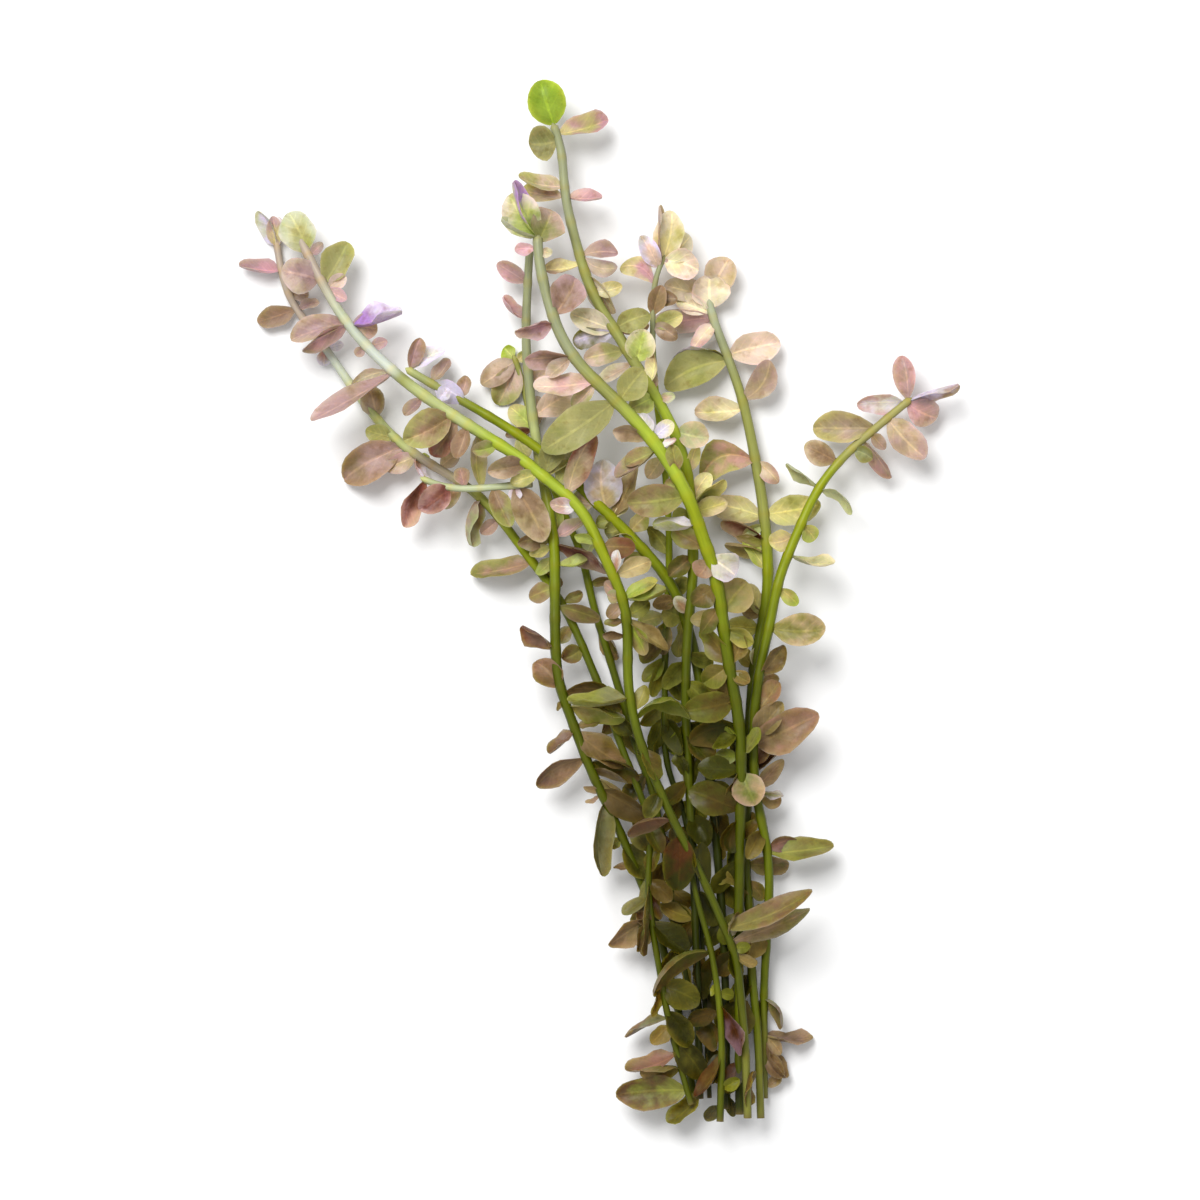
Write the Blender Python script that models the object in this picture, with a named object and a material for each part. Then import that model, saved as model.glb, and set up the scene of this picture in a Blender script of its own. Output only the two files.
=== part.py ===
"""A loose bunch of cut rotala shoots, lying on its back with the cut ends together.

Lengths in the tables are millimetres. X runs across the bunch, Y from the cut ends to the tips, and Z up from
the surface that the bunch lies on. Every shoot is a stem with its leaves grown on, one closed solid.
"""
import math

import bmesh
import bpy
from mathutils import Matrix, Vector
from mathutils.bvhtree import BVHTree

MM = 0.001
BUNCH_NAME = "rotala_bunch"
# Middle of the whole bunch in the plane, and the height of its lowest point, taken off every coordinate.
BUNCH_MIDDLE = Vector((-0.25, -0.25, 0.15))

STEM_SLACK = 0.75         # how far a stem's bend may be cut short
STEM_TIP_SHARE = 0.75     # a stem's tip is this share of its full thickness
STEM_TIP_LENGTH = 45.0    # length over which the tip swells to full thickness
STEM_FOOT_SHARE = 0.7     # and a long stem's foot this share
STEM_FOOT_START = 75.0    # way from the tip where a stem starts to thin towards the foot
STEM_FOOT_LENGTH = 85.0   # length over which it thins
STEM_SIDES_LEVEL = 1      # bevel level of a stem, which gives six sides
STEM_FLAT = math.cos(math.pi / 6)   # a six-sided stem's half thickness across its flats
STEM_END = 0.9            # no leaf grows nearer than this to a stem's end
NECK_DEPTH = 0.3          # how deep a leaf's point sits under the stem's surface
NECK_LEAST = 0.1          # least distance of a leaf's point from the stem's middle line

SHOOT_GAP = 0.3           # open space kept between neighbouring shoots
FLOOR_GAP = 0.15          # leaves stay at least this far above the surface
BLADE_THICKNESS = 0.75    # at the middle of a leaf
BLADE_CUP = 0.16          # rise of a leaf's edges over its midrib, as a share of its width
BLADE_SPRING = 0.1        # arch of a leaf along its length, as a share of the length
BLADE_SHARE = 0.46        # true width of a leaf over its length, for leaves seen on edge
BLADE_WIDEST = 5.0        # true width that a leaf seen on edge has at most
SMALL_BLADE = 120.0       # a leaf whose length times width is less has one ring of corners
BLADE_MIDDLE = 0.1        # a turned blade's seen middle lies off its midrib by this share of its width
RING_PLACES = {0.5: 0.3, 0.0: 0.45, -0.5: 0.7}
RING_WIDTHS = {0.5: 1.0, 0.0: 1.0, -0.5: 0.86}
POLE = 0.9                # ball corners beyond this height are its poles
STEEP = 0.05              # a blade that points straight up or down takes its face from +Y
SHORTEST_RUN = 1e-9       # least squared length of a stretch of stem seen from above
WELD = 0.0001             # corners nearer than this are one corner
LIFT_SHARE = 0.2          # how far leaf tips rise or fall over their length
LIFT_TURN = 2.4           # radians from one leaf's lift to the next one's
SHADE_ANGLE = math.radians(40)

# Where a leaf would meet another shoot it is tried again: tip raised by mm, length share, width share.
LEAF_TRIES = (
    (0.0, 1.0, 1.0),
    (1.2, 1.0, 1.0),
    (-1.2, 1.0, 1.0),
    (2.4, 1.0, 0.9),
    (-2.4, 1.0, 0.9),
    (3.8, 0.97, 0.85),
    (-3.8, 0.97, 0.85),
    (5.4, 0.94, 0.75),
    (-5.4, 0.94, 0.75),
    (7.0, 0.9, 0.65),
    (1.2, 0.8, 0.6),
    (-1.2, 0.8, 0.6),
    (3.0, 0.7, 0.5),
    (0.0, 0.5, 0.5),
)

FRESH = (0.42, 0.52, 0.12)
PALE = (0.55, 0.58, 0.33)
OLIVE = (0.3, 0.29, 0.09)
RUSSET = (0.42, 0.26, 0.16)
LEAF_ROUGHNESS = 0.5

# colour: of the whole shoot. radius: of the stem. heights: pairs of place along height_axis and height.
# route: the stem's middle line from tip to cut end. leaves: base x, base y, tip x, tip y, width seen from above,
# and for a leaf that bows to one side how far its middle bows to the left of its way.
SHOOTS = {
    "left_shoot": {
        "colour": FRESH,
        "radius": 1.2,
        "heights": ((75, 5.5), (55, 8), (44, 9), (24, 12), (6, 13.5), (-10, 13.2), (-34, 12.8), (-56, 12.2),
                    (-70, 11.2), (-104, 10)),
        "route": ((-61.5, 75), (-60, 72), (-58, 68.5), (-56, 64), (-51, 55.5), (-46, 50), (-40, 44.3),
                  (-36, 41.5), (-32, 38.5), (-28, 36), (-24, 33.5), (-20, 31), (-16, 28.5), (-13, 26.5),
                  (-11, 24), (-7, 21.5), (-3.5, 18.5), (-2, 15.5), (0, 10.5), (2, 6), (3.5, 3.5), (5, 0),
                  (5.5, -5), (5.7, -10), (5.2, -16), (6, -20), (7, -25), (8, -29), (10, -33.5), (12, -38),
                  (14, -43), (16, -46.5), (18.3, -51), (20.5, -55.5), (22.7, -60), (24.3, -64.5), (26, -68),
                  (27, -69.5), (27.7, -74), (28.2, -80), (29, -88), (29.3, -96), (29.5, -103.5)),
        "leaves": (
            (-58.5, 69, -62.5, 77.5, 6.5),
            (-57.5, 69.5, -55.5, 71.5, 2),
            (-54.5, 63.5, -50.8, 71.8, 5.5),
            (-54, 63, -50.7, 60, 2.4),
            (-56, 64, -63.8, 65.5, 6.5),
            (-51.5, 55.5, -62, 52.5, 4.5),
            (-52, 53.5, -59.5, 49.8, 3),
            (-50, 55.5, -44.5, 54.5, 4.8),
            (-47.5, 57, -39.5, 58, 2.7),
            (-46, 51, -42.5, 51.8, 2.2),
            (-47, 50.5, -48.8, 48.8, 2),
            (-41.5, 44.5, -57.8, 36, 3),
            (-42, 46, -49.5, 42.5, 3),
            (-36, 40, -39, 36.8, 2.4),
            (-29, 37, -39.3, 32, 6.6),
            (-29, 36, -33, 28.5, 4.5),
            (-14, 27.5, -22.5, 26, 4),
            (-10.5, 25.5, -8, 34, 4.5),
            (-9, 26.5, -2.5, 34, 2.4),
            (-4, 24, -1, 33, 4.5),
            (-8.5, 23.5, -5, 28, 4),
            (-5.2, 17.5, -10, 19, 3),
            (-1, 11, -5, 13, 1.8),
            (5.5, 6, 10, 8, 3.6),
            (4.5, 5, 3.5, 10, 1.8),
            (6, 1, 0.8, 3.5, 2.4),
            (6, 1, 11.5, 4, 2.6),
            (5, -20, -6.5, -20, 2, -1),
            (7.2, -22.5, 9, -17, 2.5),
            (7.3, -22.7, 18, -23.5, 1.8, 2.2),
            (11, -45, 5.5, -47, 2),
            (15, -47, 15.5, -58, 5.5),
            (29, -63.5, 42.3, -58, 4),
            (29, -67, 42, -62, 4),
            (27, -69, 30, -69.5, 2),
            (28, -67, 27.5, -62.2, 1.2),
            (28.5, -70.5, 31.3, -73, 1.8),
            (31, -102, 30.8, -94, 1.2),
            (5, 0, 1.5, -3.5, 2.6),
            (5.3, -4, 0.8, -4.6, 1.6),
            (5.5, -7, 0.5, -7, 1.6),
            (5.7, -4, 9, -11, 3),
            (8.5, -29, 11.5, -36, 3),
            (12, -38, 9, -43.5, 3),
            (26.5, -69, 27.5, -76, 2.4),
            (-20, 31, -25.5, 29.5, 3),
            (-33, 39, -30.5, 42.5, 2.6),
            (0.5, 10.8, 7, 10, 4),
            (6, 0.6, 13.2, 2, 2.4),
            (6, -3, 10, -0.6, 3),
            (5.8, 1, 1.4, 0.9, 2.6),
            (21.8, -57, 20.3, -48.3, 3.2),
            (5.7, -3.5, 13.5, -10, 2.4),
            (-26.5, 34.5, -29, 28.3, 3.2),
            (-12, 25.5, -18, 23.6, 3),
            (-55, 62.2, -50.8, 64.8, 2.8),
        ),
    },
    "front_shoot": {
        "colour": PALE,
        "radius": 1.35,
        "heights": ((73, 13), (56, 15), (40, 16.5), (30, 15.8), (8, 14.2), (-14, 12), (-33, 9.6), (-58, 7),
                    (-104, 6.2)),
        "route": ((-12.5, 73), (-12.5, 68), (-11, 62), (-9.3, 56), (-8.3, 53), (-6, 49), (-3.5, 46),
                  (-1, 43.5), (2, 41), (3.3, 39.5), (6, 37), (8.5, 34), (12, 30.3), (15, 25), (17.8, 20.8),
                  (19.7, 14.5), (21.2, 10), (22.4, 8), (23.5, 3), (24.2, -2), (24.8, -7), (25.6, -12),
                  (26, -14), (27, -20), (28, -25), (28.3, -33), (28, -44), (28, -52), (27.8, -58),
                  (27.8, -80), (28, -103)),
        "leaves": (
            (-13, 75, -18.5, 80.5, 7),
            (-14, 78, -17, 83.6, 2.6),
            (-12.5, 71, -9, 77.5, 6.5),
            (-14.5, 73.5, -19.6, 76.3, 1.3),
            (-13, 70, -17, 69.8, 2.4),
            (-12, 70, -9.7, 68.7, 2),
            (-10.2, 54.5, -17, 53, 2.8),
            (-9.3, 56.5, -4.5, 64, 6.5),
            (-6.5, 47.5, -15, 48, 3.4),
            (-4, 40, -13.3, 42.8, 4),
            (2.5, 39, -11.5, 30, 7),
            (4, 40, 9, 45.5, 5.5),
            (8.5, 30.5, 2.5, 33.5, 3),
            (12, 33.5, 8.2, 37.2, 3),
            (12.5, 31, 15.2, 32, 1.3),
            (10.5, 29, 5, 27, 3),
            (17.5, 26, 14.5, 31, 3),
            (16.5, 20.3, 5.5, 19, 6),
            (16.5, 21.5, 12.8, 23, 2.8),
            (16.3, 14, 10.5, 14.8, 1.6),
            (19.5, 9, 14.5, 14, 4),
            (22, 9, 27.3, 5.2, 5.6),
            (22, 8.5, 19.6, 4.6, 4.2),
            (25, -2.5, 29.5, 3.5, 6.5),
            (27.5, -13, 28.5, -6.5, 2.6),
            (26, -14, 29.3, -17, 2),
            (25, -13, 20.5, -5.5, 3.5),
            (29, -34, 31, -41, 5.6),
            (26, -33, 26.8, -42, 2.6),
            (27, -42, 18, -37.5, 5.5),
            (28.8, -28, 25, -25.3, 1),
            (28.3, -31, 23, -31.3, 2.6),
            (29.5, -31, 31.8, -25.5, 2.2),
            (29, -27, 28.5, -23.5, 0.9),
            (27, -57, 23, -56.5, 2, -1),
            (27, -20.5, 16.5, -22.5, 5),
            (26.5, -25, 18, -28.5, 4.4),
            (27.3, -34, 19.5, -33, 3.8),
            (27.5, -43, 26, -50.5, 3),
            (27.5, -62, 24.5, -69, 3),
            (28, -79, 29.5, -87, 2.4),
            (26.5, -15, 24.5, -21, 3),
            (23.5, 3, 18.5, -1, 4),
            (25, -5.5, 30.5, -8.8, 3),
            (28, -52, 22.5, -58.5, 3.4),
            (28, -92, 25, -98.5, 3.2),
            (10, 32, 14.5, 35.5, 3),
            (-1, 43.5, -5.5, 38.5, 3),
            (24, -1, 20, -6.5, 3),
            (28, -70, 23, -75, 3.4),
            (28, -80, 23.5, -86, 3.4),
            (-6.2, 48.2, -10.5, 44.2, 3),
            (25.3, -13, 20.8, -16.8, 4),
            (26.2, -14, 29.8, -16.5, 2.4),
            (27.8, -43.5, 24.6, -50, 3),
            (27.6, -26, 22.6, -29.8, 2.2),
            (24, -4, 18, -3.5, 3),
            (10.5, 29.5, 3, 24.5, 3),
        ),
    },
    "far_right_shoot": {
        "colour": PALE,
        "radius": 1.05,
        "heights": ((41, 5), (27, 8), (11, 9.5), (-6, 9.8), (-21, 9.4), (-30, 7), (-45, 6.6), (-60, 6.2),
                    (-75, 4), (-82, 3), (-100, 2.4)),
        "route": ((62.5, 40.5), (60, 38.5), (57.5, 36.3), (55.5, 34.8), (53, 32.5), (50.5, 30.5),
                  (47.3, 27.5), (44.5, 23.5), (43, 22), (42, 19.5), (40.7, 16), (38.5, 11.5), (37.3, 8.5),
                  (36.3, 6), (35.2, 3), (34.6, -1), (33.9, -6), (32.8, -9), (32, -13), (31.4, -17),
                  (30.9, -21), (30.5, -30), (31.3, -41), (32.7, -45), (33.6, -50), (34, -55), (33.9, -60),
                  (33.5, -67), (33.1, -73), (32.8, -79), (33, -100)),
        "leaves": (
            (62.3, 40.8, 60.7, 49, 4),
            (63.5, 40.8, 72, 43, 1.4),
            (62.5, 38.5, 67.3, 36, 5.5),
            (58.5, 35.5, 65, 28.3, 5.5),
            (61, 40, 51.5, 39, 3.6),
            (55.5, 34, 42.7, 35, 5.8),
            (54.5, 33, 57.2, 30.3, 2.4),
            (53, 31.5, 58.5, 24.5, 2.2),
            (50.5, 30, 54.5, 28.2, 3),
            (47, 28, 40.7, 30.5, 4.4),
            (42.5, 23, 37.2, 27.2, 1.1),
            (44, 22, 50.4, 17.3, 1.6, 1.2),
            (40.5, 15, 43, 12, 3.4),
            (38, 13.5, 34, 11, 4),
            (38, 8.5, 47, 7.8, 1.4),
            (36, 2.5, 39.5, -1, 2.6),
            (35, -6, 45, -6.3, 6),
            (33.5, -15.5, 37, -9.2, 3.2),
            (30.5, -23, 36, -16.5, 3.5),
            (33, -29, 44, -23.7, 7),
            (31, -33.5, 33.5, -29, 2.5),
            (33, -37.5, 36.8, -32, 3),
            (34, -38, 36.7, -39.3, 1.5),
            (31, -40, 36.3, -40.5, 2.8),
            (31, -46, 29, -51.5, 3),
            (34, -49.5, 39.5, -48, 2.8),
            (34, -50.5, 46.8, -49, 4),
            (33, -79.5, 36.3, -86, 1.1, 1.2),
            (33.3, -87.5, 42.8, -87.8, 2),
            (32.5, -90.5, 36.5, -96, 3),
            (36, -88, 37.3, -96, 1.4),
            (33, -98, 36.5, -95.5, 2),
            (31, -27, 36.5, -20.5, 4.4),
            (33, -60.5, 29.5, -66, 3),
            (33, -79, 32, -87, 2),
            (33, -87, 36.5, -91, 2.4),
            (33.8, -64, 29.5, -72, 2.6),
            (31.3, -44, 27.5, -48, 2.4),
        ),
    },
    "crown_shoot": {
        "colour": FRESH,
        "radius": 1.15,
        "heights": ((96, 7), (60, 10), (41, 12), (32, 9.5), (23, 8.6), (4, 7.6), (-14, 7.2), (-60, 5),
                    (-100, 4.2)),
        "route": ((-9.5, 95.5), (-8, 93), (-7.3, 88), (-7.3, 81.5), (-5.5, 74), (-3.7, 67.5), (-2, 62),
                  (0.5, 57), (3.3, 54), (5, 50.5), (6.8, 47.3), (9, 44), (11, 41), (13.5, 36.5),
                  (15.5, 32.5), (17, 28), (18, 23), (18.7, 9), (18.7, 4), (18.2, 0), (17.5, -6), (17.2, -14),
                  (17, -20), (18, -40), (19, -60), (19.3, -69), (20, -100)),
        "leaves": (
            (-9.5, 95.5, -12, 104, 7),
            (-8.3, 92, -14.2, 91, 6.5),
            (-7.5, 93.5, 1.8, 96, 4),
            (-8.3, 82.5, -16.3, 85, 3),
            (-6.3, 80.6, 0.5, 80.6, 2.4),
            (-5, 66.7, -11.5, 66, 2.6),
            (-4, 68.8, 3.6, 69.5, 3.2, 1),
            (-2.5, 66, 3.3, 57.5, 3.5),
            (3, 54, -6, 57, 4.5),
            (3.8, 54.7, 10, 57, 4.5),
            (4, 54, 9.8, 55, 2.5),
            (8, 47.5, 9, 54, 5.5),
            (3, 48.5, -3.3, 48.5, 4),
            (5.5, 46.5, -0.5, 43.8, 2.5),
            (10.5, 43.5, 10.8, 49, 2.4),
            (12.2, 42, 10.4, 45.2, 2),
            (12.5, 41, 15, 40.5, 2),
            (15.5, 34, 21.8, 32.5, 5),
            (20, -71, 21, -80, 3),
            (18.5, 9, 13.5, 5, 3.5),
            (18.3, 19.5, 21.8, 25.5, 3.4),
            (17.2, -16, 22.5, -21, 3.4),
            (18, -26, 22.5, -33, 3.6),
            (18, -36, 13, -41, 3),
            (18.5, -43, 22, -49, 4),
            (19, -58, 23.8, -65, 3.6),
            (19.3, -64, 15, -71, 3.4),
            (19.5, -82, 23.5, -90, 3.2),
            (3.5, 53.5, -5.5, 52, 3.8),
            (-1.5, 61.5, 4.5, 62.5, 3),
            (17.5, -12, 12.5, -17.5, 3),
            (19, -50, 14, -46, 3),
            (11, 40.5, 6, 37.8, 4.2),
            (17.4, 25, 19.4, 31, 2.4),
            (18.2, 18, 14.5, 15.8, 3.4),
            (18.6, 18.5, 24.8, 24.2, 2.4),
            (18, -38, 19.3, -31, 2.4),
            (20.5, -99, 13.3, -104.5, 3),
            (18.5, -3, 15.2, 0.8, 2.6),
            (18.5, -64, 12, -61, 3),
            (18.6, 17.5, 25.3, 20, 3.6),
            (-7.3, 80.5, -15.5, 82.3, 3.6),
            (18, -36, 15.6, -30.5, 2),
            (-4.2, 68.3, 3.4, 66.2, 3, -1),
            (17.3, -10.5, 22.6, -13, 2.8),
        ),
    },
    "far_left_shoot": {
        "colour": RUSSET,
        "radius": 0.95,
        "heights": ((74, 1.2), (50, 2.4), (31, 4), (16, 5), (0, 5), (-18, 6.2), (-45, 7.2), (-66, 7.2),
                    (-101, 6.7)),
        "route": ((-65.3, 74), (-64.5, 70), (-64.3, 66), (-63.5, 63), (-61.5, 58.8), (-59, 55.5), (-56, 52),
                  (-53, 47.5), (-50, 43), (-47, 39), (-44.8, 36.5), (-42.5, 33.5), (-40, 31), (-36, 28.5),
                  (-32, 26), (-27.5, 23.5), (-24, 21), (-20, 16.5), (-14, 8), (-10.5, 4), (-8, 0),
                  (-5.3, -5), (-3.3, -9.5), (-1.4, -14.5), (0.3, -18), (3, -26), (6, -34), (9, -41),
                  (10.3, -45), (10, -50), (9.5, -55), (9.7, -60), (10.5, -66), (11.5, -72), (12.5, -77),
                  (13.3, -83), (14.8, -88), (16, -93), (17.3, -98), (18.3, -101)),
        "leaves": (
            (-65.5, 71, -69, 78, 2.6),
            (-65, 70.5, -66, 77, 3),
            (-64, 70.5, -64.5, 77, 2),
            (-64.5, 66, -72.5, 67.5, 2.6),
            (-63.5, 66, -58, 67.5, 3),
            (-61.5, 58, -68.7, 55.5, 4),
            (-60.5, 59, -56.3, 59.8, 2),
            (-55.5, 50.5, -55.5, 47, 2.6),
            (-54, 51, -51.5, 51.5, 2),
            (-44.5, 36.5, -46.5, 43, 4.5),
            (-40, 30.5, -51.8, 25, 7),
            (-41, 32, -47, 34, 3.5),
            (-37, 30, -34.5, 24, 1),
            (-20, 16.5, -23.8, 13.2, 2.6),
            (-24.5, 20.5, -25.3, 10.6, 1.3),
            (-14, 7.5, -26, 5, 3.6),
            (-3, -9.5, -7.5, -12, 3.5),
            (6.5, -55.5, 8.8, -71.3, 2.2),
            (7, -63.5, 2, -69.5, 4),
            (10, -65, 7.3, -62.5, 2.4),
            (12, -64, 18, -70, 4),
            (12.5, -77, 20, -80.5, 5),
            (12.3, -77.5, 10.7, -83.5, 1.4),
            (12, -84, 5, -87.5, 1.3, -1.6),
            (14, -85, 10.5, -89, 3),
            (15, -91, 5, -94, 3),
            (17, -98.3, 3.2, -99.2, 6),
            (-5.5, -5, -8.5, -8.5, 2.6),
            (9.5, -63.5, 7.5, -70.5, 2.6),
            (9.5, -56, 14.5, -60, 3.2),
            (14, -82, 18.5, -89, 4),
            (15.5, -88, 21, -95.5, 4.4),
            (10.5, -44.5, 12.5, -50.5, 2.8),
            (-62.5, 61.5, -58.5, 61.5, 3),
            (-32.5, 26.5, -28.5, 29.5, 3),
            (-28, 23.7, -31.5, 18.5, 3.2),
            (-12, 5.5, -7.5, 3, 2.6),
            (1.5, -22, 6.5, -27, 3),
            (10, -55, 11.3, -49.5, 2.4),
            (10, -58.5, 12, -64, 1.8),
            (16, -94, 8, -94.4, 1.8),
            (-33.5, 27, -36, 29, 2),
            (-36.5, 28.8, -43, 26, 3.6),
            (10, -50.5, 6.5, -46, 2.9),
            (-7.8, -0.6, -3.4, 1.2, 2.2),
            (9.5, -59.5, 4.6, -63, 2.2),
        ),
    },
    "mid_left_shoot": {
        "colour": OLIVE,
        "radius": 1.1,
        "heights": ((46, 5), (34, 7), (20, 8), (6, 7.2), (0, 5.2), (-5, 4.2), (-30, 4.4), (-102, 4.6)),
        "route": ((-39, 46.5), (-37, 45), (-34, 43.5), (-30, 41.2), (-27, 39.6), (-19, 34.9), (-12, 30.2),
                  (-6, 25), (-1, 19.5), (2, 17), (5.5, 13.5), (9, 9.7), (12, 6.5), (14.5, 3.5), (15.7, 0.5),
                  (17.5, -5), (19.5, -12), (21.5, -30), (23.5, -50), (25, -70), (25.5, -102)),
        "leaves": (
            (-40, 46.5, -31, 50, 3.2, 1),
            (-39, 47, -36, 52.5, 3),
            (-33, 44.5, -30.5, 48.5, 2.5),
            (-34, 42.5, -27.2, 40.2, 4),
            (-28, 41, -26.5, 44.8, 2.6),
            (17, -4, 12.5, -2, 4.5),
            (14, -0.5, 10.5, -1, 2.6),
            (21.5, -47, 24.3, -52.3, 2),
            (20.5, -24, 14.5, -31, 4.4),
            (22.5, -42, 23.3, -47, 1.6),
            (24.8, -69, 21.5, -76.5, 3),
            (25.3, -90, 21.5, -97, 3),
            (-17, 33, -14.5, 28.5, 3),
            (9, 9.7, 5, 6.5, 3),
            (22.2, -36, 26.5, -41, 3.4),
            (24, -56, 28.5, -62, 3),
            (5, 14.5, 1, 13.2, 3.6),
            (5.5, 13.5, 9.5, 17, 3.4),
            (16.8, -3, 15.3, -11.5, 2.2),
            (1.5, 17.5, 0, 28, 7),
            (-0.5, 19, -5.5, 20.5, 4),
            (8.3, 9.5, 1.5, 12, 1.6, -2.8),
            (3, 17, 7.8, 26.5, 3.5),
            (21, -20, 23, -13, 3),
            (2.6, 17, 5.8, 18.7, 1.5),
            (3.2, 16.3, -0.8, 15.2, 2.6),
            (22.5, -41.5, 25.6, -47.5, 3),
            (25.3, -99, 26.6, -103.6, 1.8),
            (24.8, -64.5, 21.6, -69.6, 2.8),
        ),
    },
    "inner_left_shoot": {
        "colour": FRESH,
        "radius": 1.1,
        "heights": ((71, 6), (52, 4.4), (24, 4.4), (10, 8.2), (-10, 9), (-35, 8.6), (-48, 5.5), (-55, 4),
                    (-62, 3), (-75, 1.6), (-101, 1.1)),
        "route": ((-14, 71), (-14.3, 68), (-14.5, 63), (-14.8, 57), (-15, 52), (-13.5, 36), (-11, 22),
                  (-9, 12), (-9, 0), (-9, -10), (-8.3, -17.8), (-7, -20.5), (-5, -25.5), (-2.9, -32),
                  (-1, -35.5), (0.5, -39.5), (3, -44), (4.7, -48), (6.8, -53), (7.5, -55), (10.5, -62),
                  (14, -75), (17, -88), (19, -101)),
        "leaves": (
            (-13, 63.5, -20.7, 67.3, 3.4),
            (-14.8, 56, -19.3, 61, 2),
            (-8.6, 12.5, -3.2, 15.8, 2.6),
            (-6, 11.5, 1.3, 5.3, 2.6),
            (-10, 2.5, -14.3, 0.8, 3.6),
            (-8, -1, 0, -4, 3),
            (-10, -10, -16, -5.5, 2.4),
            (-9.2, -18, -12.5, -12, 5),
            (-8, -19.5, -8.5, -22.2, 1),
            (-7.5, -18.3, 4.3, -21.5, 4, 1.8),
            (-1.5, -25, 5.5, -33.5, 4.5),
            (-6.3, -26.5, -10.5, -30.5, 2),
            (-4, -32, -12.5, -37.5, 4),
            (-1.5, -32, 8, -35.5, 3),
            (-0.5, -39, -3.3, -37.3, 1.4),
            (0, -39.5, -3, -40.5, 0.9),
            (0, -40.5, 0.2, -55.2, 3.6),
            (2.5, -36.5, 9.5, -44, 4.2),
            (4, -47.5, 1.8, -49.5, 2.2),
            (8, -53, 2.7, -53.8, 1.2),
            (6.5, -47.5, 9, -56, 4),
            (-6.5, -21, 5, -24, 2.6),
            (-9.5, 12.5, -16.5, 11.5, 3.2),
            (-9.3, 9, -12.8, 5.2, 2.4),
            (-8.8, 7, -2.5, 8, 2),
            (-2, -36, 4.5, -39, 1.6),
            (-4.8, -25, 0, -24.3, 1.4),
            (-1.5, -33.5, 5.5, -36.6, 1.6),
            (-13, 36.5, -5.5, 41.5, 5),
            (-9, 11, -14, 8.8, 2.2),
        ),
    },
    "inner_right_shoot": {
        "colour": PALE,
        "radius": 0.7,
        "heights": ((69, 7.5), (45, 7.5), (34, 6), (22, 5), (6, 4.2), (-12, 3.4), (-42, 3), (-60, 2.2),
                    (-100, 1.6)),
        "route": ((13, 69), (10.8, 66), (10.6, 60), (10.4, 56), (10.8, 45), (12, 34), (13.5, 22), (14, 10),
                  (13.5, 0), (13, -12), (13, -24), (12.7, -30), (14, -36), (17, -42), (20, -60), (22, -100)),
        "leaves": (
            (13, 69, 15, 77.7, 5.5),
            (12, 74, 12, 79, 1.8),
            (15, 66, 18, 73, 5.5),
            (11, 66.5, 9, 70.3, 3),
            (12.5, 66, 13, 69.5, 2),
            (11, 63.5, 4, 66.5, 4, -1.5),
            (13, 56.5, 12, 63, 3.4),
            (12.7, -21, 10, -30, 3),
            (13.4, -3, 7.5, -4.5, 3),
            (13.3, -4, 12.5, -11, 3),
            (14, 9, 9.5, 14.5, 3),
            (13, 29, 9.4, 24.4, 3.4),
            (13, -14, 17, -20, 3.2),
            (13, -24, 17, -31, 3.2),
            (17.5, -45, 13.5, -52, 3.4),
            (21, -78, 25.5, -85, 3.4),
            (11, 60, 15.5, 60.5, 3),
            (10.8, 55, 15.5, 52.3, 3),
            (13, 0, 17.5, 4.5, 3),
            (20, -60, 25, -66.5, 3.4),
            (21.5, -90, 25.5, -97.5, 3.4),
            (13.3, -6, 8.2, -12.5, 3.4),
            (13, -12, 10.5, -19.5, 2.8),
            (13, -20.5, 16, -24.5, 2.8),
            (11, 67, 8, 72.8, 3.5),
            (10.6, 54.5, 16.5, 57, 3.4),
            (12.5, 68, 19.8, 66.3, 5.5),
            (13.2, -11.5, 8.8, -16.5, 2.6),
            (13, -21, 8, -25, 2.4),
            (17, -40, 21.2, -44, 2.8),
        ),
    },
    "right_shoot": {
        "colour": PALE,
        "radius": 1.15,
        "heights": ((62, 3), (39, 3.6), (2, 3.6), (-42, 3.2), (-60, 3.6), (-75, 5), (-82, 5.6), (-104, 5.8)),
        "route": ((21.5, 62), (22, 57.5), (24, 53), (25.7, 48.8), (27.5, 43.5), (29, 39.3), (30.2, 33),
                  (31.2, 28), (32.3, 22), (33, 17), (33.4, 12), (33.8, 7), (33.8, 2), (33, -3), (31, -12),
                  (30, -25), (29.5, -42), (28.9, -53), (30, -60), (30.3, -75), (31.2, -82), (31.8, -90),
                  (32.2, -103.8)),
        "leaves": (
            (21, 62, 26, 68.5, 6),
            (22, 58, 22, 65.3, 7),
            (21.5, 56.5, 10, 55, 4.5),
            (21, 55, 18.3, 50.3, 3),
            (26.5, 49.5, 36.2, 51.5, 6),
            (25, 47.8, 12.8, 43.5, 6.8, -1),
            (30, 40, 34, 48, 5, -1.2),
            (28, 38, 19, 37.5, 4.5),
            (30, 28.5, 20.5, 23.5, 6.5, -3),
            (31.8, 28, 35.8, 23.5, 3),
            (32, 16.5, 22, 19.5, 5),
            (34, 17.5, 44.3, 18.5, 5.5),
            (33, 9, 25, 11, 2),
            (35.5, 5.5, 29, 12.3, 3),
            (32.2, 15, 28.5, 13.2, 2),
            (30.2, -30, 25, -35.5, 3),
            (29.2, -47, 25.5, -54, 3),
            (30, -66, 26.3, -73, 3),
            (21.5, 57.5, 15.5, 60.5, 3.8),
            (30, -25, 26.5, -31, 3),
            (29.5, -56, 33, -60, 2.6),
            (30.3, -75, 26.5, -82, 3),
            (32.5, 11.3, 27.3, 12.7, 2),
            (31.8, -17.8, 35.8, -15.3, 2.4),
            (31.5, -35.5, 35.5, -30.5, 2.2),
            (33, -3.5, 29.7, 3.3, 3),
            (32.5, -5.5, 25.5, -5, 3.5),
            (29.5, -14, 31, -9.5, 1.8),
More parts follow.
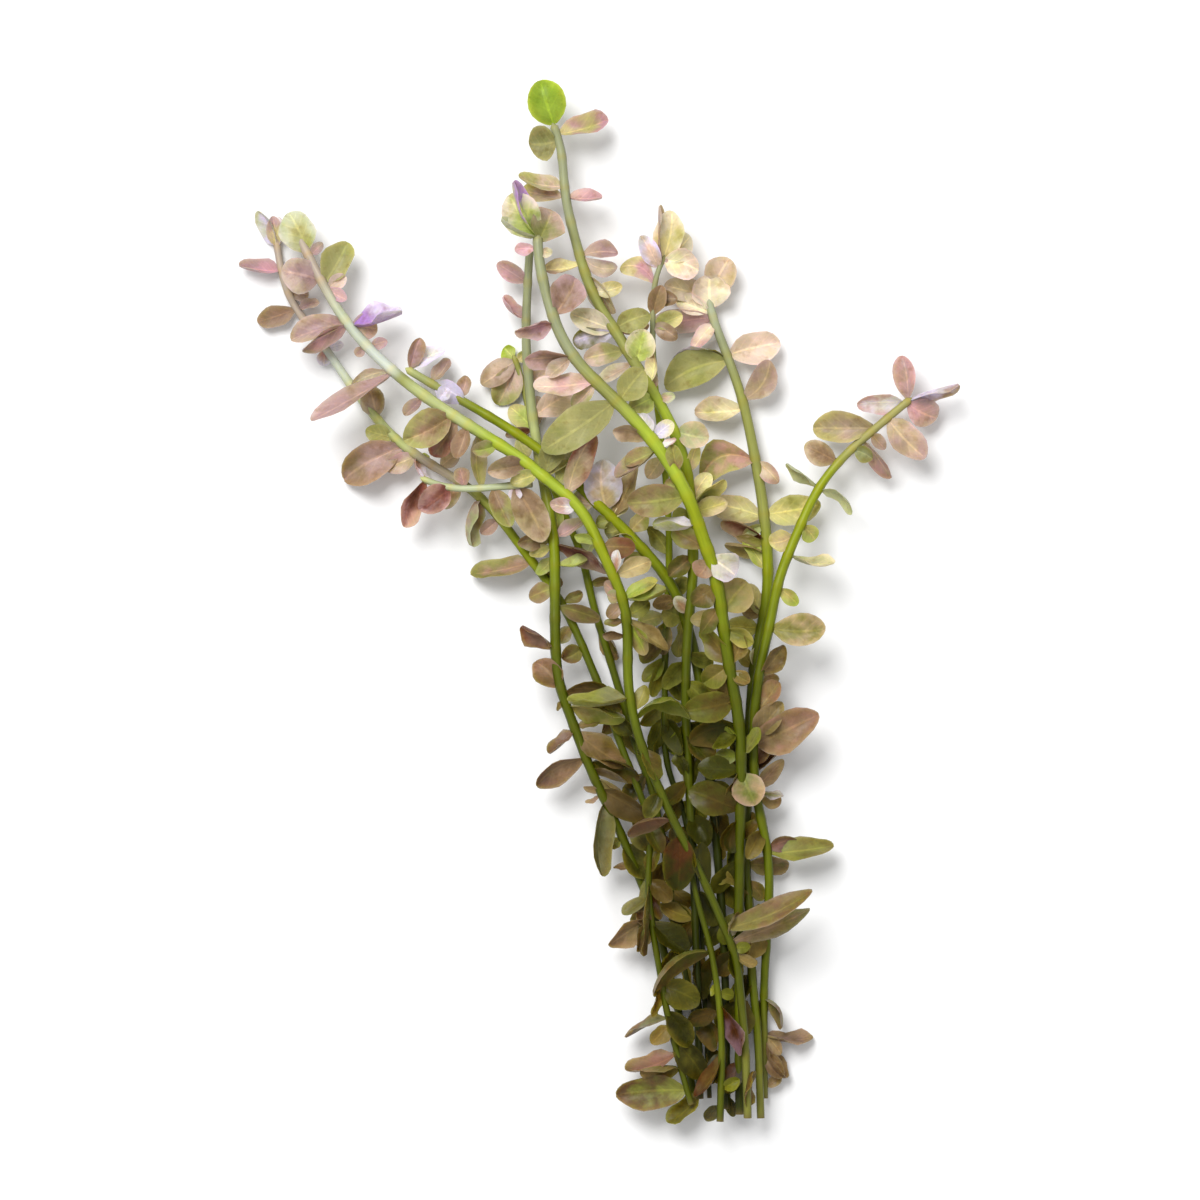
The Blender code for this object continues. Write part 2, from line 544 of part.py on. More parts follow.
            (30.5, -61, 28, -58, 1.8),
            (28.7, -53, 38, -53, 3.6),
            (30.2, -47, 30.5, -42.5, 2),
            (21.3, 61, 13, 63.5, 4.5),
            (33, 11.5, 24.3, 15.8, 2.8),
            (31, -14, 27.6, -9.5, 2.6),
            (25.2, 48.4, 14.6, 48, 2.8, -1),
            (33, -2.6, 28.4, -2.2, 2.4),
        ),
    },
    "back_left_shoot": {
        "colour": OLIVE,
        "radius": 0.8,
        "heights": ((49, 1.3), (24, 1.4), (0, 2.6), (-65, 2.6), (-84, 2.2)),
        "route": ((-17.5, 49.5), (-15.5, 45), (-15, 41), (-14, 36), (-12.5, 30), (-7.5, 18), (-3, 8),
                  (-2.5, 3), (-1, -2), (0, -6), (1.5, -10), (2.7, -14.5), (4.3, -19.5), (8, -32),
                  (10.7, -38), (13, -50), (15, -65), (18.5, -80), (19.2, -84)),
        "leaves": (
            (-17.5, 48, -19.5, 50.5, 3),
            (-16, 48, -14.5, 50, 2),
            (-16.5, 48, -20, 39, 5.5),
            (-19.5, 47, -24, 43.5, 4.5),
            (-14, 34.5, -18, 39, 4),
            (-13, 34, -12.5, 41, 3),
            (-14, 34, -19, 33, 2),
            (-14.5, 43.5, -8.5, 46.5, 3.5),
            (4.5, -19.5, 0.5, -27, 3.2),
            (9, -34.5, 5, -41, 3.2),
            (12.5, -47, 16.5, -54, 3.4),
            (14.5, -60, 18, -67, 3.2),
            (-3, 8, -0.5, 14.5, 2.6),
            (0, -5, 3.5, -12, 2.4),
            (-7.5, 18, -11, 13, 3),
            (11.5, -40, 7, -46, 3.2),
            (16, -70, 12.5, -76, 3),
            (-2.5, 3, 2.2, 4.2, 1.8),
            (10.8, -38, 11.2, -28.5, 2.2),
            (12.5, -47, 15.8, -40.5, 2.6),
            (14.3, -58, 18.2, -61.5, 3),
            (16.5, -73, 18, -77.5, 1.6),
            (7.8, -32, 4.2, -25.5, 1.8),
            (13.6, -52, 10.4, -57.8, 3),
        ),
    },
    "low_left_shoot": {
        "colour": PALE,
        "radius": 0.9,
        "height_axis": 0,
        "heights": ((-36, 8), (-24, 9), (-15, 11.5), (-12.8, 12)),
        "route": ((-36, 24.5), (-34, 23), (-30, 22), (-24, 22.3), (-18, 22.8), (-13.6, 23.2)),
        "leaves": (
            (-35.5, 23, -39, 14.5, 3.6),
            (-30, 22.5, -36, 17.8, 5),
            (-27, 22.5, -28, 26.5, 3),
            (-24, 22.5, -24, 34, 3),
            (-17.5, 24, -16.5, 20, 2.4),
            (-17, 23, -10.7, 12, 6),
            (-21.5, 22.5, -18, 14.5, 4),
        ),
    },
    "low_shoot": {
        "colour": FRESH,
        "radius": 0.75,
        "heights": ((-50, 9), (-67, 8.8), (-104, 8.5)),
        "route": ((17.5, -50), (18.5, -56), (19.5, -60.5), (21.5, -67), (22.6, -71), (23.2, -76), (24, -81),
                  (24.5, -90), (24.2, -97), (24, -104.3)),
        "leaves": (
            (22.5, -70, 10.5, -79, 2, -2.7),
            (24, -78, 22, -77.8, 2),
            (24, -78, 26.8, -79, 2),
            (24, -81, 28, -91, 2.6),
            (22.5, -82.5, 17.5, -84.5, 3),
            (23, -91, 19, -99.5, 2),
            (24.7, -98, 28, -96, 2.2),
            (24, -101, 21, -104, 2.2),
        ),
    },
}


def clear_scene():
    """Takes every object out of the scene."""
    for item in list(bpy.data.objects):
        bpy.data.objects.remove(item, do_unlink=True)


def paint(name, colour):
    """One plain leaf-like material."""
    material = bpy.data.materials.new(name)
    material.use_nodes = True
    shader = material.node_tree.nodes["Principled BSDF"]
    shader.inputs["Base Color"].default_value = (*colour, 1.0)
    shader.inputs["Roughness"].default_value = LEAF_ROUGHNESS
    shader.inputs["Metallic"].default_value = 0.0
    material.diffuse_color = (*colour, 1.0)
    return material


def height_at(heights, place):
    """Height between the pairs of a shoot's table, held level beyond its ends."""
    ordered = sorted(heights)
    if place <= ordered[0][0]:
        return ordered[0][1]
    for (near, low), (far, high) in zip(ordered, ordered[1:]):
        if place <= far:
            return low + (high - low) * (place - near) / (far - near)
    return ordered[-1][1]


def stem_line(shoot):
    """The stem's middle line in space, from tip to cut end."""
    axis = shoot.get("height_axis", 1)
    return [Vector((x, y, height_at(shoot["heights"], (x, y)[axis]))) for x, y in shoot["route"]]


def thinned(line, slack):
    """The same line with the points left out that a straight run passes within the slack."""
    if len(line) < 3:
        return line
    first = line[0]
    last = line[-1]
    run = (last - first).normalized()
    away = [((p - first) - run * (p - first).dot(run)).length for p in line[1:-1]]
    far = max(range(len(away)), key=away.__getitem__) + 1
    if away[far - 1] <= slack:
        return [first, last]
    return thinned(line[:far + 1], slack)[:-1] + thinned(line[far:], slack)


def stem_object(name, line, radius, collection):
    """A tube with filled ends along the line, as a closed mesh."""
    curve = bpy.data.curves.new(name + "_line", "CURVE")
    curve.dimensions = "3D"
    curve.bevel_depth = radius
    curve.bevel_resolution = STEM_SIDES_LEVEL
    curve.use_fill_caps = True
    spline = curve.splines.new("POLY")
    spline.points.add(len(line) - 1)
    travelled = 0.0
    for index, point in enumerate(line):
        if index:
            travelled += (point - line[index - 1]).length
        spline.points[index].co = (*point, 1.0)
        spline.points[index].radius = swelling(travelled)
    holder = bpy.data.objects.new(name + "_line", curve)
    collection.objects.link(holder)
    bpy.context.view_layer.update()
    evaluated = holder.evaluated_get(bpy.context.evaluated_depsgraph_get())
    mesh = bpy.data.meshes.new_from_object(evaluated)
    stem = bpy.data.objects.new(name, mesh)
    stem.matrix_world = holder.matrix_world.copy()
    collection.objects.link(stem)
    bpy.data.objects.remove(holder, do_unlink=True)
    weld(mesh)
    return stem


def weld(mesh):
    """Joins the loose caps to the tube, makes triangles and turns all faces outward."""
    work = bmesh.new()
    work.from_mesh(mesh)
    bmesh.ops.remove_doubles(work, verts=work.verts, dist=WELD)
    bmesh.ops.triangulate(work, faces=work.faces)
    bmesh.ops.recalc_face_normals(work, faces=work.faces)
    work.to_mesh(mesh)
    work.free()


def nearest_on_line(line, x, y):
    """The point of the line that lies nearest to x, y seen from above, and its way from the stem's tip."""
    target = Vector((x, y))
    best = line[0]
    best_distance = math.inf
    best_way = 0.0
    inner = [line[0] + (line[1] - line[0]).normalized() * STEM_END, *line[1:-1],
             line[-1] + (line[-2] - line[-1]).normalized() * STEM_END]
    travelled = STEM_END
    for start, end in zip(inner, inner[1:]):
        run = (end - start).to_2d()
        ahead = (target - start.to_2d()).dot(run) / max(run.length_squared, SHORTEST_RUN)
        share = min(1.0, max(0.0, ahead))
        point = start.lerp(end, share)
        distance = (point.to_2d() - target).length
        if distance < best_distance:
            best, best_distance = point, distance
            best_way = travelled + share * (end - start).length
        travelled += (end - start).length
    return best, best_way


def swelling(way):
    """Share of a stem's full thickness at this way from its tip."""
    if way < STEM_FOOT_START:
        return STEM_TIP_SHARE + (1.0 - STEM_TIP_SHARE) * min(1.0, way / STEM_TIP_LENGTH)
    return 1.0 - (1.0 - STEM_FOOT_SHARE) * min(1.0, (way - STEM_FOOT_START) / STEM_FOOT_LENGTH)


def rooted(base, tip, way, radius):
    """The place just under the stem's surface where a leaf starts."""
    depth = max(NECK_LEAST, STEM_FLAT * radius * swelling(way) - NECK_DEPTH)
    return base + (tip - base).normalized() * depth


def leaf_plan(line, radius, row, index):
    """A leaf's start on its stem, its tip, its true width, its turn on edge, and its bow to one side."""
    base, way = nearest_on_line(line, row[0], row[1])
    reach = (Vector(row[2:4]) - base.to_2d()).length
    tip = Vector((row[2], row[3], base.z + LIFT_SHARE * reach * math.sin(LIFT_TURN * index)))
    width = max(row[4], min(BLADE_SHARE * reach, BLADE_WIDEST))
    turn = math.acos(row[4] / width) * (1 if index % 2 else -1)
    across = Vector((base.y - tip.y, tip.x - base.x, 0)).normalized()
    seen_bow = row[5] if len(row) > 5 else 0.0
    sideways = math.sin(turn) * (BLADE_SPRING * reach + BLADE_MIDDLE * width)
    return rooted(base, tip, way, radius), tip, width, turn, across * (seen_bow + sideways)


def leaf_frame(base, tip, turn):
    """Directions along the blade, across it and out of its upper face."""
    along = (tip - base).normalized()
    up = Vector((0, 0, 1)) - along * along.z
    if up.length < STEEP:
        up = Vector((0, 1, 0)) - along * along.y
    up.normalize()
    side = along.cross(up)
    face = up * math.cos(turn) + side * math.sin(turn)
    return along, along.cross(face), face


def leaf_mesh(plan, trial, grow=0.0):
    """A slim ball with three sides, shaped into a cupped and arched blade with a keel under its midrib."""
    base, tip, width, turn, bow = plan
    lift, length_share, width_share = trial
    tip = base + (tip - base) * length_share + Vector((0, 0, lift))
    along, across, face = leaf_frame(base, tip, turn)
    length = (tip - base).length
    half = 0.5 * width * width_share
    blade = bmesh.new()
    rings = 2 if length * width < SMALL_BLADE else 3
    bmesh.ops.create_uvsphere(blade, u_segments=3, v_segments=rings, radius=1.0)
    for corner in blade.verts:
        x, y, z = corner.co
        if abs(z) > POLE:
            corner.co = base if z > 0 else tip + along * grow
            continue
        ring = round(z * 2) / 2
        share = RING_PLACES[ring]
        spread = half * RING_WIDTHS[ring]
        spring = 4 * share * (1 - share)
        place = base + (tip - base) * share + (face * BLADE_SPRING * length + bow) * spring
        if abs(x) < abs(y):
            place -= face * (BLADE_THICKNESS + grow)
        else:
            place += across * math.copysign(spread + grow, x) + face * (BLADE_CUP * 2 * spread + grow)
        corner.co = place
    bmesh.ops.triangulate(blade, faces=blade.faces)
    bmesh.ops.recalc_face_normals(blade, faces=blade.faces)
    return blade


def clear_of(blade, envelope, owner, solids):
    """Whether the blade stays above the surface and its envelope stays out of the other shoots."""
    if min(corner.co.z for corner in blade.verts) - BUNCH_MIDDLE.z < FLOOR_GAP:
        return False
    tree = BVHTree.FromBMesh(envelope)
    return not any(name != owner and tree.overlap(other) for name, other in solids)


def grown_leaf(plan, owner, solids):
    """The first try of a leaf that fits among the other shoots, or nothing."""
    for trial in LEAF_TRIES:
        blade = leaf_mesh(plan, trial)
        envelope = leaf_mesh(plan, trial, SHOOT_GAP)
        fits = clear_of(blade, envelope, owner, solids)
        envelope.free()
        if fits:
            solids.append((owner, BVHTree.FromBMesh(blade)))
            return blade
        blade.free()
    return None


def join_leaf(stem, blade, collection):
    """Boolean union of one leaf with its stem."""
    mesh = bpy.data.meshes.new("leaf")
    blade.to_mesh(mesh)
    blade.free()
    leaf = bpy.data.objects.new("leaf", mesh)
    collection.objects.link(leaf)
    union = stem.modifiers.new("leaf", "BOOLEAN")
    union.operation = "UNION"
    union.solver = "EXACT"
    union.object = leaf
    bpy.context.view_layer.update()
    evaluated = stem.evaluated_get(bpy.context.evaluated_depsgraph_get())
    joined = bpy.data.meshes.new_from_object(evaluated)
    stem.modifiers.clear()
    old = stem.data
    stem.data = joined
    bpy.data.meshes.remove(old)
    bpy.data.objects.remove(leaf, do_unlink=True)


def drop_pockets(mesh):
    """Takes out the inner skins of pockets that crossing leaves close off, and keeps the outer skin."""
    work = bmesh.new()
    work.from_mesh(mesh)
    left = set(work.verts)
    skins = []
    while left:
        skin = set()
        edge = [left.pop()]
        while edge:
            corner = edge.pop()
            skin.add(corner)
            near = {link.other_vert(corner) for link in corner.link_edges} & left
            left -= near
            edge.extend(near)
        skins.append(skin)
    skins.sort(key=len)
    bmesh.ops.delete(work, geom=[corner for skin in skins[:-1] for corner in skin], context="VERTS")
    work.to_mesh(mesh)
    work.free()


def finish_shoot(stem, foot, colour, parent):
    """Brings the shoot to metres with its origin at the cut end, and paints and shades it."""
    mesh = stem.data
    drop_pockets(mesh)
    mesh.transform(Matrix.Scale(MM, 4) @ Matrix.Translation(-foot))
    stem.location = (foot - BUNCH_MIDDLE) * MM
    mesh.name = stem.name
    mesh.materials.clear()
    mesh.materials.append(paint(stem.name + "_green", colour))
    mesh.shade_smooth()
    mesh.set_sharp_from_angle(angle=SHADE_ANGLE)
    stem.parent = parent


def main():
    """Builds every stem, grows the leaves that fit, and joins them."""
    clear_scene()
    collection = bpy.data.collections.new(BUNCH_NAME)
    bpy.context.scene.collection.children.link(collection)
    bunch = bpy.data.objects.new(BUNCH_NAME, None)
    collection.objects.link(bunch)
    lines = {}
    stems = {}
    solids = []
    for name, shoot in SHOOTS.items():
        lines[name] = thinned(stem_line(shoot), STEM_SLACK)
        stems[name] = stem_object(name, lines[name], shoot["radius"], collection)
        shell = bmesh.new()
        shell.from_mesh(stems[name].data)
        solids.append((name, BVHTree.FromBMesh(shell)))
        shell.free()
    leaves = {name: [] for name in SHOOTS}
    for name, shoot in SHOOTS.items():
        for index, row in enumerate(shoot["leaves"]):
            plan = leaf_plan(lines[name], shoot["radius"], row, index)
            leaves[name].append(grown_leaf(plan, name, solids))
    for name, shoot in SHOOTS.items():
        for blade in filter(None, leaves[name]):
            join_leaf(stems[name], blade, collection)
        finish_shoot(stems[name], lines[name][-1], shoot["colour"], bunch)


main()
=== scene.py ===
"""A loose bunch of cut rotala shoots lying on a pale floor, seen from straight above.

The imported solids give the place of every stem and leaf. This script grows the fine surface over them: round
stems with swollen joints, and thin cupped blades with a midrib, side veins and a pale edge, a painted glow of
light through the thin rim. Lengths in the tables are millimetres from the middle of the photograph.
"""
import logging
import math
from collections.abc import Callable, Iterator
from contextlib import contextmanager
from dataclasses import dataclass, field, replace
from enum import Enum

import bpy
import numpy as np
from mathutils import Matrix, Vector
from mathutils.kdtree import KDTree


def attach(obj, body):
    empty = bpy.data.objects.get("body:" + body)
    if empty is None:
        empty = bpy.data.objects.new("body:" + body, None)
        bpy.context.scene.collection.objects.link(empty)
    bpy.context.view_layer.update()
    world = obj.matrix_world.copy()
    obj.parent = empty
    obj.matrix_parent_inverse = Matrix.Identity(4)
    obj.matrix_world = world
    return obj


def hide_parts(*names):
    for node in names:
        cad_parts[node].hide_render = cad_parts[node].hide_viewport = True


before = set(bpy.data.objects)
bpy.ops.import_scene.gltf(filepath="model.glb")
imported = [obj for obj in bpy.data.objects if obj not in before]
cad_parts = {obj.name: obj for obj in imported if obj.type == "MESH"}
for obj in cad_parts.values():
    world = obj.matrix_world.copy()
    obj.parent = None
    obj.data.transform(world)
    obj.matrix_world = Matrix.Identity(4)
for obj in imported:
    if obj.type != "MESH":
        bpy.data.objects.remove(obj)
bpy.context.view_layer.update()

LOG = logging.getLogger("rotala")
Colour = tuple[float, float, float]

MM = 0.001
BUNCH_MIDDLE = Vector((-0.25, -0.25, 0.15))

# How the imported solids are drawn, so that every stem and leaf lands on its solid.
STEM_SLACK = 0.75          # how far a stem's bend may be cut short
STEM_TIP_SHARE = 0.75      # a stem's tip is this share of its full thickness
STEM_TIP_LENGTH = 45.0     # length over which the tip swells
STEM_FOOT_SHARE = 0.7      # a long stem's foot is this share of its full thickness
STEM_FOOT_START = 75.0     # way from the tip where it starts to thin
STEM_FOOT_LENGTH = 85.0    # length over which it thins
STEM_FLAT = math.cos(math.pi / 6)   # half thickness of a six-sided stem across its flats
STEM_END = 0.9             # no leaf grows nearer to a stem's end
NECK_DEPTH = 0.3           # how deep a leaf's point sits under the stem's surface
NECK_LEAST = 0.1
BLADE_CUP = 0.16           # rise of a leaf's edges, as a share of its width
BLADE_SPRING = 0.1         # arch of a leaf, as a share of its length
BLADE_SHARE = 0.46         # true width over length of a leaf seen on edge
BLADE_WIDEST = 5.0         # and its largest true width
BLADE_MIDDLE = 0.1         # a turned blade's seen middle lies off its midrib by this share of its width
SMALL_BLADE = 120.0        # a leaf whose length times width is less has one ring of corners
SMALL_RING = ((0.45, 1.0),)
BLADE_RINGS = ((0.3, 1.0), (0.7, 0.86))
STEEP = 0.05               # a blade that points straight up or down takes its face from +Y
SHORTEST_RUN = 1e-9
LIFT_SHARE = 0.2           # how far leaf tips rise or fall over their length
LIFT_TURN = 2.4            # radians from one leaf's lift to the next one's
SAME_CORNER = 0.00005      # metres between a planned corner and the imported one
LEAF_TRIES = (
    (0.0, 1.0, 1.0), (1.2, 1.0, 1.0), (-1.2, 1.0, 1.0), (2.4, 1.0, 0.9), (-2.4, 1.0, 0.9),
    (3.8, 0.97, 0.85), (-3.8, 0.97, 0.85), (5.4, 0.94, 0.75), (-5.4, 0.94, 0.75), (7.0, 0.9, 0.65),
    (1.2, 0.8, 0.6), (-1.2, 0.8, 0.6), (3.0, 0.7, 0.5), (0.0, 0.5, 0.5),
)

# The smooth stems over them, in millimetres and shares of the stem's thickness.
SAME_PLACE = 0.0001
STEM_SIDES = 12
RING_STEP = 0.9
RING_CUTS = 3
SMOOTH_STEP = 0.5
SMOOTH_REACH = 19
JOINT_SPACING = 12.0
JOINT_MERGE = 3.5
JOINT_LENGTH = 0.6
SWELL_LENGTH = 0.9
STEM_SLIM = 0.97           # thickness between joints
JOINT_SWELL = 0.09
TIP_ROUND = (0.02, 1.0)    # ways over which the tip is rounded off
CUT_LENGTH = 1.2
GRAIN_STEP = 0.06
GRAIN_SHIFT = 10
STEM_SMOOTH = math.radians(50)

# The blades over them, in shares of a leaf's width or length. Each bend is drawn evenly from its span.
WIDE_SHARE = 1.12
INNER_WIDER = 0.12         # leaves in the foot's crowd are this much wider again
LEAF_START = 0.7           # a leaf starts this share of the way out to the stem's surface
LEAF_BENDS = {
    "curl": (-0.35, 0.5), "twist": (-0.5, 0.5), "fold": (0.3, 2.0), "wave": (0.05, 0.3), "phase": (0.0, 6.3),
    "lean": (-0.15, 0.15), "hook": (-0.22, 0.22), "notch": (0.0, 0.09), "fullness": (0.85, 1.2),
}
WAVE_RUN = 8.0
WAVE_SLANT = 2.5
NOTCH_RUN = 9.0
TWIST_MIDDLE = 0.4
TWIST_DRAW = 0.3
LEAF_SMOOTH = math.radians(60)

# Light that reaches the bunch, by place along it, among the foot's stems and outside them.
INNER_SHADES = {
    -90.0: (0.33, 0.29, 0.08), -45.0: (0.3, 0.29, 0.07), -15.0: (0.45, 0.46, 0.14),
    15.0: (1.08, 1.07, 0.74), 45.0: (1.13, 1.09, 1.07), 75.0: (1.15, 1.1, 1.2),
}
OUTER_SHADES = {
    -90.0: (0.63, 0.55, 0.48), -45.0: (0.6, 0.52, 0.42), -15.0: (0.58, 0.52, 0.36),
    15.0: (0.99, 0.97, 0.84), 45.0: (1.09, 1.05, 1.14), 75.0: (1.16, 1.11, 1.28),
}
FOOT_MIDDLE = 20.0
FOOT_SPAN = (9.0, 21.0)    # how far from the foot's middle its crowd of stems thins out and ends
PALE_SHADE = 0.5           # power of the shade on the palest and violet tones
STEM_SHADE = 0.35          # power of the shade on stems
# Painted shade: a stem's sides and underside are darkened so that its top reads as lit.
SIDE_PAINTED_SHADE = ((-20.0, 40.0), (0.6, 0.35))   # how much darker a stem's sides are, by place along the bunch
JOINT_TINT = (1.25, 1.05, 0.6)
LEAF_SHADES = (0.78, 1.22)
UNDER_SHADE = 0.8
VEIN_SPAN = (0.3, 1.0)


class Slot(Enum):
    """The record's material slots."""

    FRESH = "fresh_shoot"
    PALE = "pale_shoot"
    OLIVE = "olive_shoot"
    RUSSET = "russet_shoot"


class Tone(Enum):
    """Leaf colours as screen values."""

    L = (170, 182, 100)
    Y = (186, 177, 120)
    C = (212, 202, 168)
    P = (192, 172, 152)
    S = (180, 147, 139)
    T = (172, 152, 130)
    B = (130, 108, 86)
    O = (142, 142, 88)
    D = (86, 88, 42)
    M = (154, 130, 124)
    K = (176, 138, 138)
    R = (118, 72, 66)
    V = (196, 188, 208)
    # W is lavender-white: the palest leaves' own colour, and partly painted sheen of light on the blades.
    W = (220, 212, 218)
    J = (196, 162, 164)
    G = (158, 164, 130)
    U = (152, 116, 172)
    N = (74, 78, 92)
    F = (140, 166, 52)

    def linear(self, shade: np.ndarray) -> np.ndarray:
        """Linear colour of the tone in a shade, which the palest and violet ones take on by half."""
        return linear(self.value) * shade ** (PALE_SHADE if self.name in "WVUJ" else 1.0)


class StemTone(Enum):
    """Stem colours as screen values; the shoots' tables run them pale at the tips and dark at the foot,
    partly the stems' own colour and partly painted light and shade.
    """

    ICE = (190, 198, 190)
    MINT = (176, 184, 160)
    BLUSH = (172, 158, 146)
    PALE = (172, 180, 126)
    STRAW = (154, 150, 94)
    SAGE = (142, 147, 114)
    OLIVE = (140, 143, 80)
    LIME = (156, 174, 56)
    GREEN = (136, 147, 22)
    LEAF = (116, 128, 18)
    MOSS = (92, 101, 12)
    DARK = (58, 66, 14)


def linear(screen: Colour) -> np.ndarray:
    """Turns a 0 to 255 screen colour into linear light by the sRGB curve.

    Args:
        screen: red, green and blue as a screen shows them.

    Returns:
        Three linear values from 0 to 1.
    """
    share = np.asarray(screen, dtype=float) / 255.0
    return np.where(share <= 0.04045, share / 12.92, ((share + 0.055) / 1.055) ** 2.4)


class Sock:
    """A node socket that takes part in Python arithmetic through Math nodes."""

    def __init__(self, board: "Board", socket: bpy.types.NodeSocket) -> None:
        """Wraps a socket of the board."""
        self.board = board
        self.socket = socket

    def maths(self, operation: str, *values: "Sock | float") -> "Sock":
        """Adds a Math node.

        Args:
            operation: the Math node's operation.
            values: its values in order, or none for this socket alone.

        Returns:
            The node's value.
        """
        inputs = dict(enumerate(values or (self,)))
        return self.board.node("ShaderNodeMath", {"operation": operation}, inputs)

    def __add__(self, other: "Sock | float") -> "Sock":
        """Sum."""
        return self.maths("ADD", self, other)

    def __sub__(self, other: "Sock | float") -> "Sock":
        """Difference."""
        return self.maths("SUBTRACT", self, other)

    def __rsub__(self, other: float) -> "Sock":
        """Difference from a number."""
        return self.maths("SUBTRACT", other, self)

    def __mul__(self, other: "Sock | float") -> "Sock":
        """Product."""
        return self.maths("MULTIPLY", self, other)

    def __pow__(self, other: float) -> "Sock":
        """Power."""
        return self.maths("POWER", self, other)

    def ramp(self, low: float, high: float) -> "Sock":
        """Smooth step from 0 at low to 1 at high."""
        settings = {"interpolation_type": "SMOOTHSTEP"}
        return self.board.node("ShaderNodeMapRange", settings, {0: self, 1: low, 2: high})


class Board:
    """The node board of one material, with its Principled shader."""

    def __init__(self, name: str) -> None:
        """Makes a material of this name with a Principled shader."""
        self.material = bpy.data.materials.new(name)
        self.material.use_nodes = True
        self.tree = self.material.node_tree
        self.shader = self.tree.nodes["Principled BSDF"]

    def put(self, target: bpy.types.NodeSocket, value: Sock | float | tuple) -> None:
        """Links a socket to the target or sets its value."""
        if isinstance(value, Sock):
            self.tree.links.new(value.socket, target)
        else:
            target.default_value = value

    def node(self, kind: str, settings: dict | None = None, inputs: dict | None = None,
             output: int | str = 0) -> Sock:
        """Adds any node.

        Args:
            kind: the node's type.
            settings: properties, set first.
            inputs: values or links by socket number or name.
            output: the wanted output.

        Returns:
            The output socket.
        """
        made = self.tree.nodes.new(kind)
        for key, value in (settings or {}).items():
            setattr(made, key, value)
        for key, value in (inputs or {}).items():
            self.put(made.inputs[key], value)
        return Sock(self, made.outputs[output])

    def mix(self, share: Sock | float, first: Sock | Colour, second: Sock | Colour,
            blend: str = "MIX") -> Sock:
        """Mixes two colours.

        Args:
            share: how much of the second colour.
            first: a colour or socket.
            second: a colour or socket.
            blend: the Mix node's blend type.

        Returns:
            The mixed colour.
        """
        settings = {"data_type": "RGBA", "blend_type": blend}
        first, second = (item if isinstance(item, Sock) else (*item, 1.0) for item in (first, second))
        return self.node("ShaderNodeMix", settings, {0: share, 6: first, 7: second}, 2)

    def attribute(self, name: str, output: str = "Fac") -> Sock:
        """Reads an attribute of the mesh."""
        return self.node("ShaderNodeAttribute", {"attribute_name": name}, output=output)

    def noise(self, scale: float, detail: float = 2.0, place: Sock | None = None) -> Sock:
        """Noise at a scale per metre in object space, or over any other place."""
        place = place or self.node("ShaderNodeTexCoord", output="Object")
        return self.node("ShaderNodeTexNoise", inputs={"Vector": place, "Scale": scale, "Detail": detail})

    def finish(self, colour: Sock, roughness: Sock | float, height: Sock, depth: float,
               others: dict[str, float | Colour] | None = None) -> None:
        """Links the shader.

        Args:
            colour: base colour.
            roughness: roughness.
            height: height of the fine relief, 0 to 1.
            depth: depth of the relief in metres.
            others: values of the shader's other inputs by name.
        """
        relief = self.node("ShaderNodeBump", inputs={"Height": height, "Distance": depth, "Strength": 1.0})
        inputs = {"Base Color": colour, "Roughness": roughness, "Normal": relief, **(others or {})}
        for name, value in inputs.items():
            self.put(self.shader.inputs[name], value)


@dataclass(frozen=True)
class Spots:
    """Uneven spots of a tint over a blade: noise of a scale per metre, cut between two values."""

    scale: float
    detail: float
    cut: tuple[float, float]
    strength: float
    tint: Colour

    def share(self, board: Board) -> Sock:
        """Where the spots lie."""
        return board.noise(self.scale, self.detail).ramp(*self.cut)


PATCH = Spots(210.0, 3.0, (0.44, 0.68), 0.55, (0.66, 0.76, 0.4))
# Painted sheen: pale spots that stand in for soft light on the blades. PATCH and STAIN are the blades' own
# colour.
PAINTED_SHEEN = Spots(150.0, 2.0, (0.48, 0.7), 0.7, (1.42, 1.36, 1.42))
STAIN = Spots(640.0, 3.0, (0.52, 0.78), 0.6, (0.6, 0.5, 0.38))


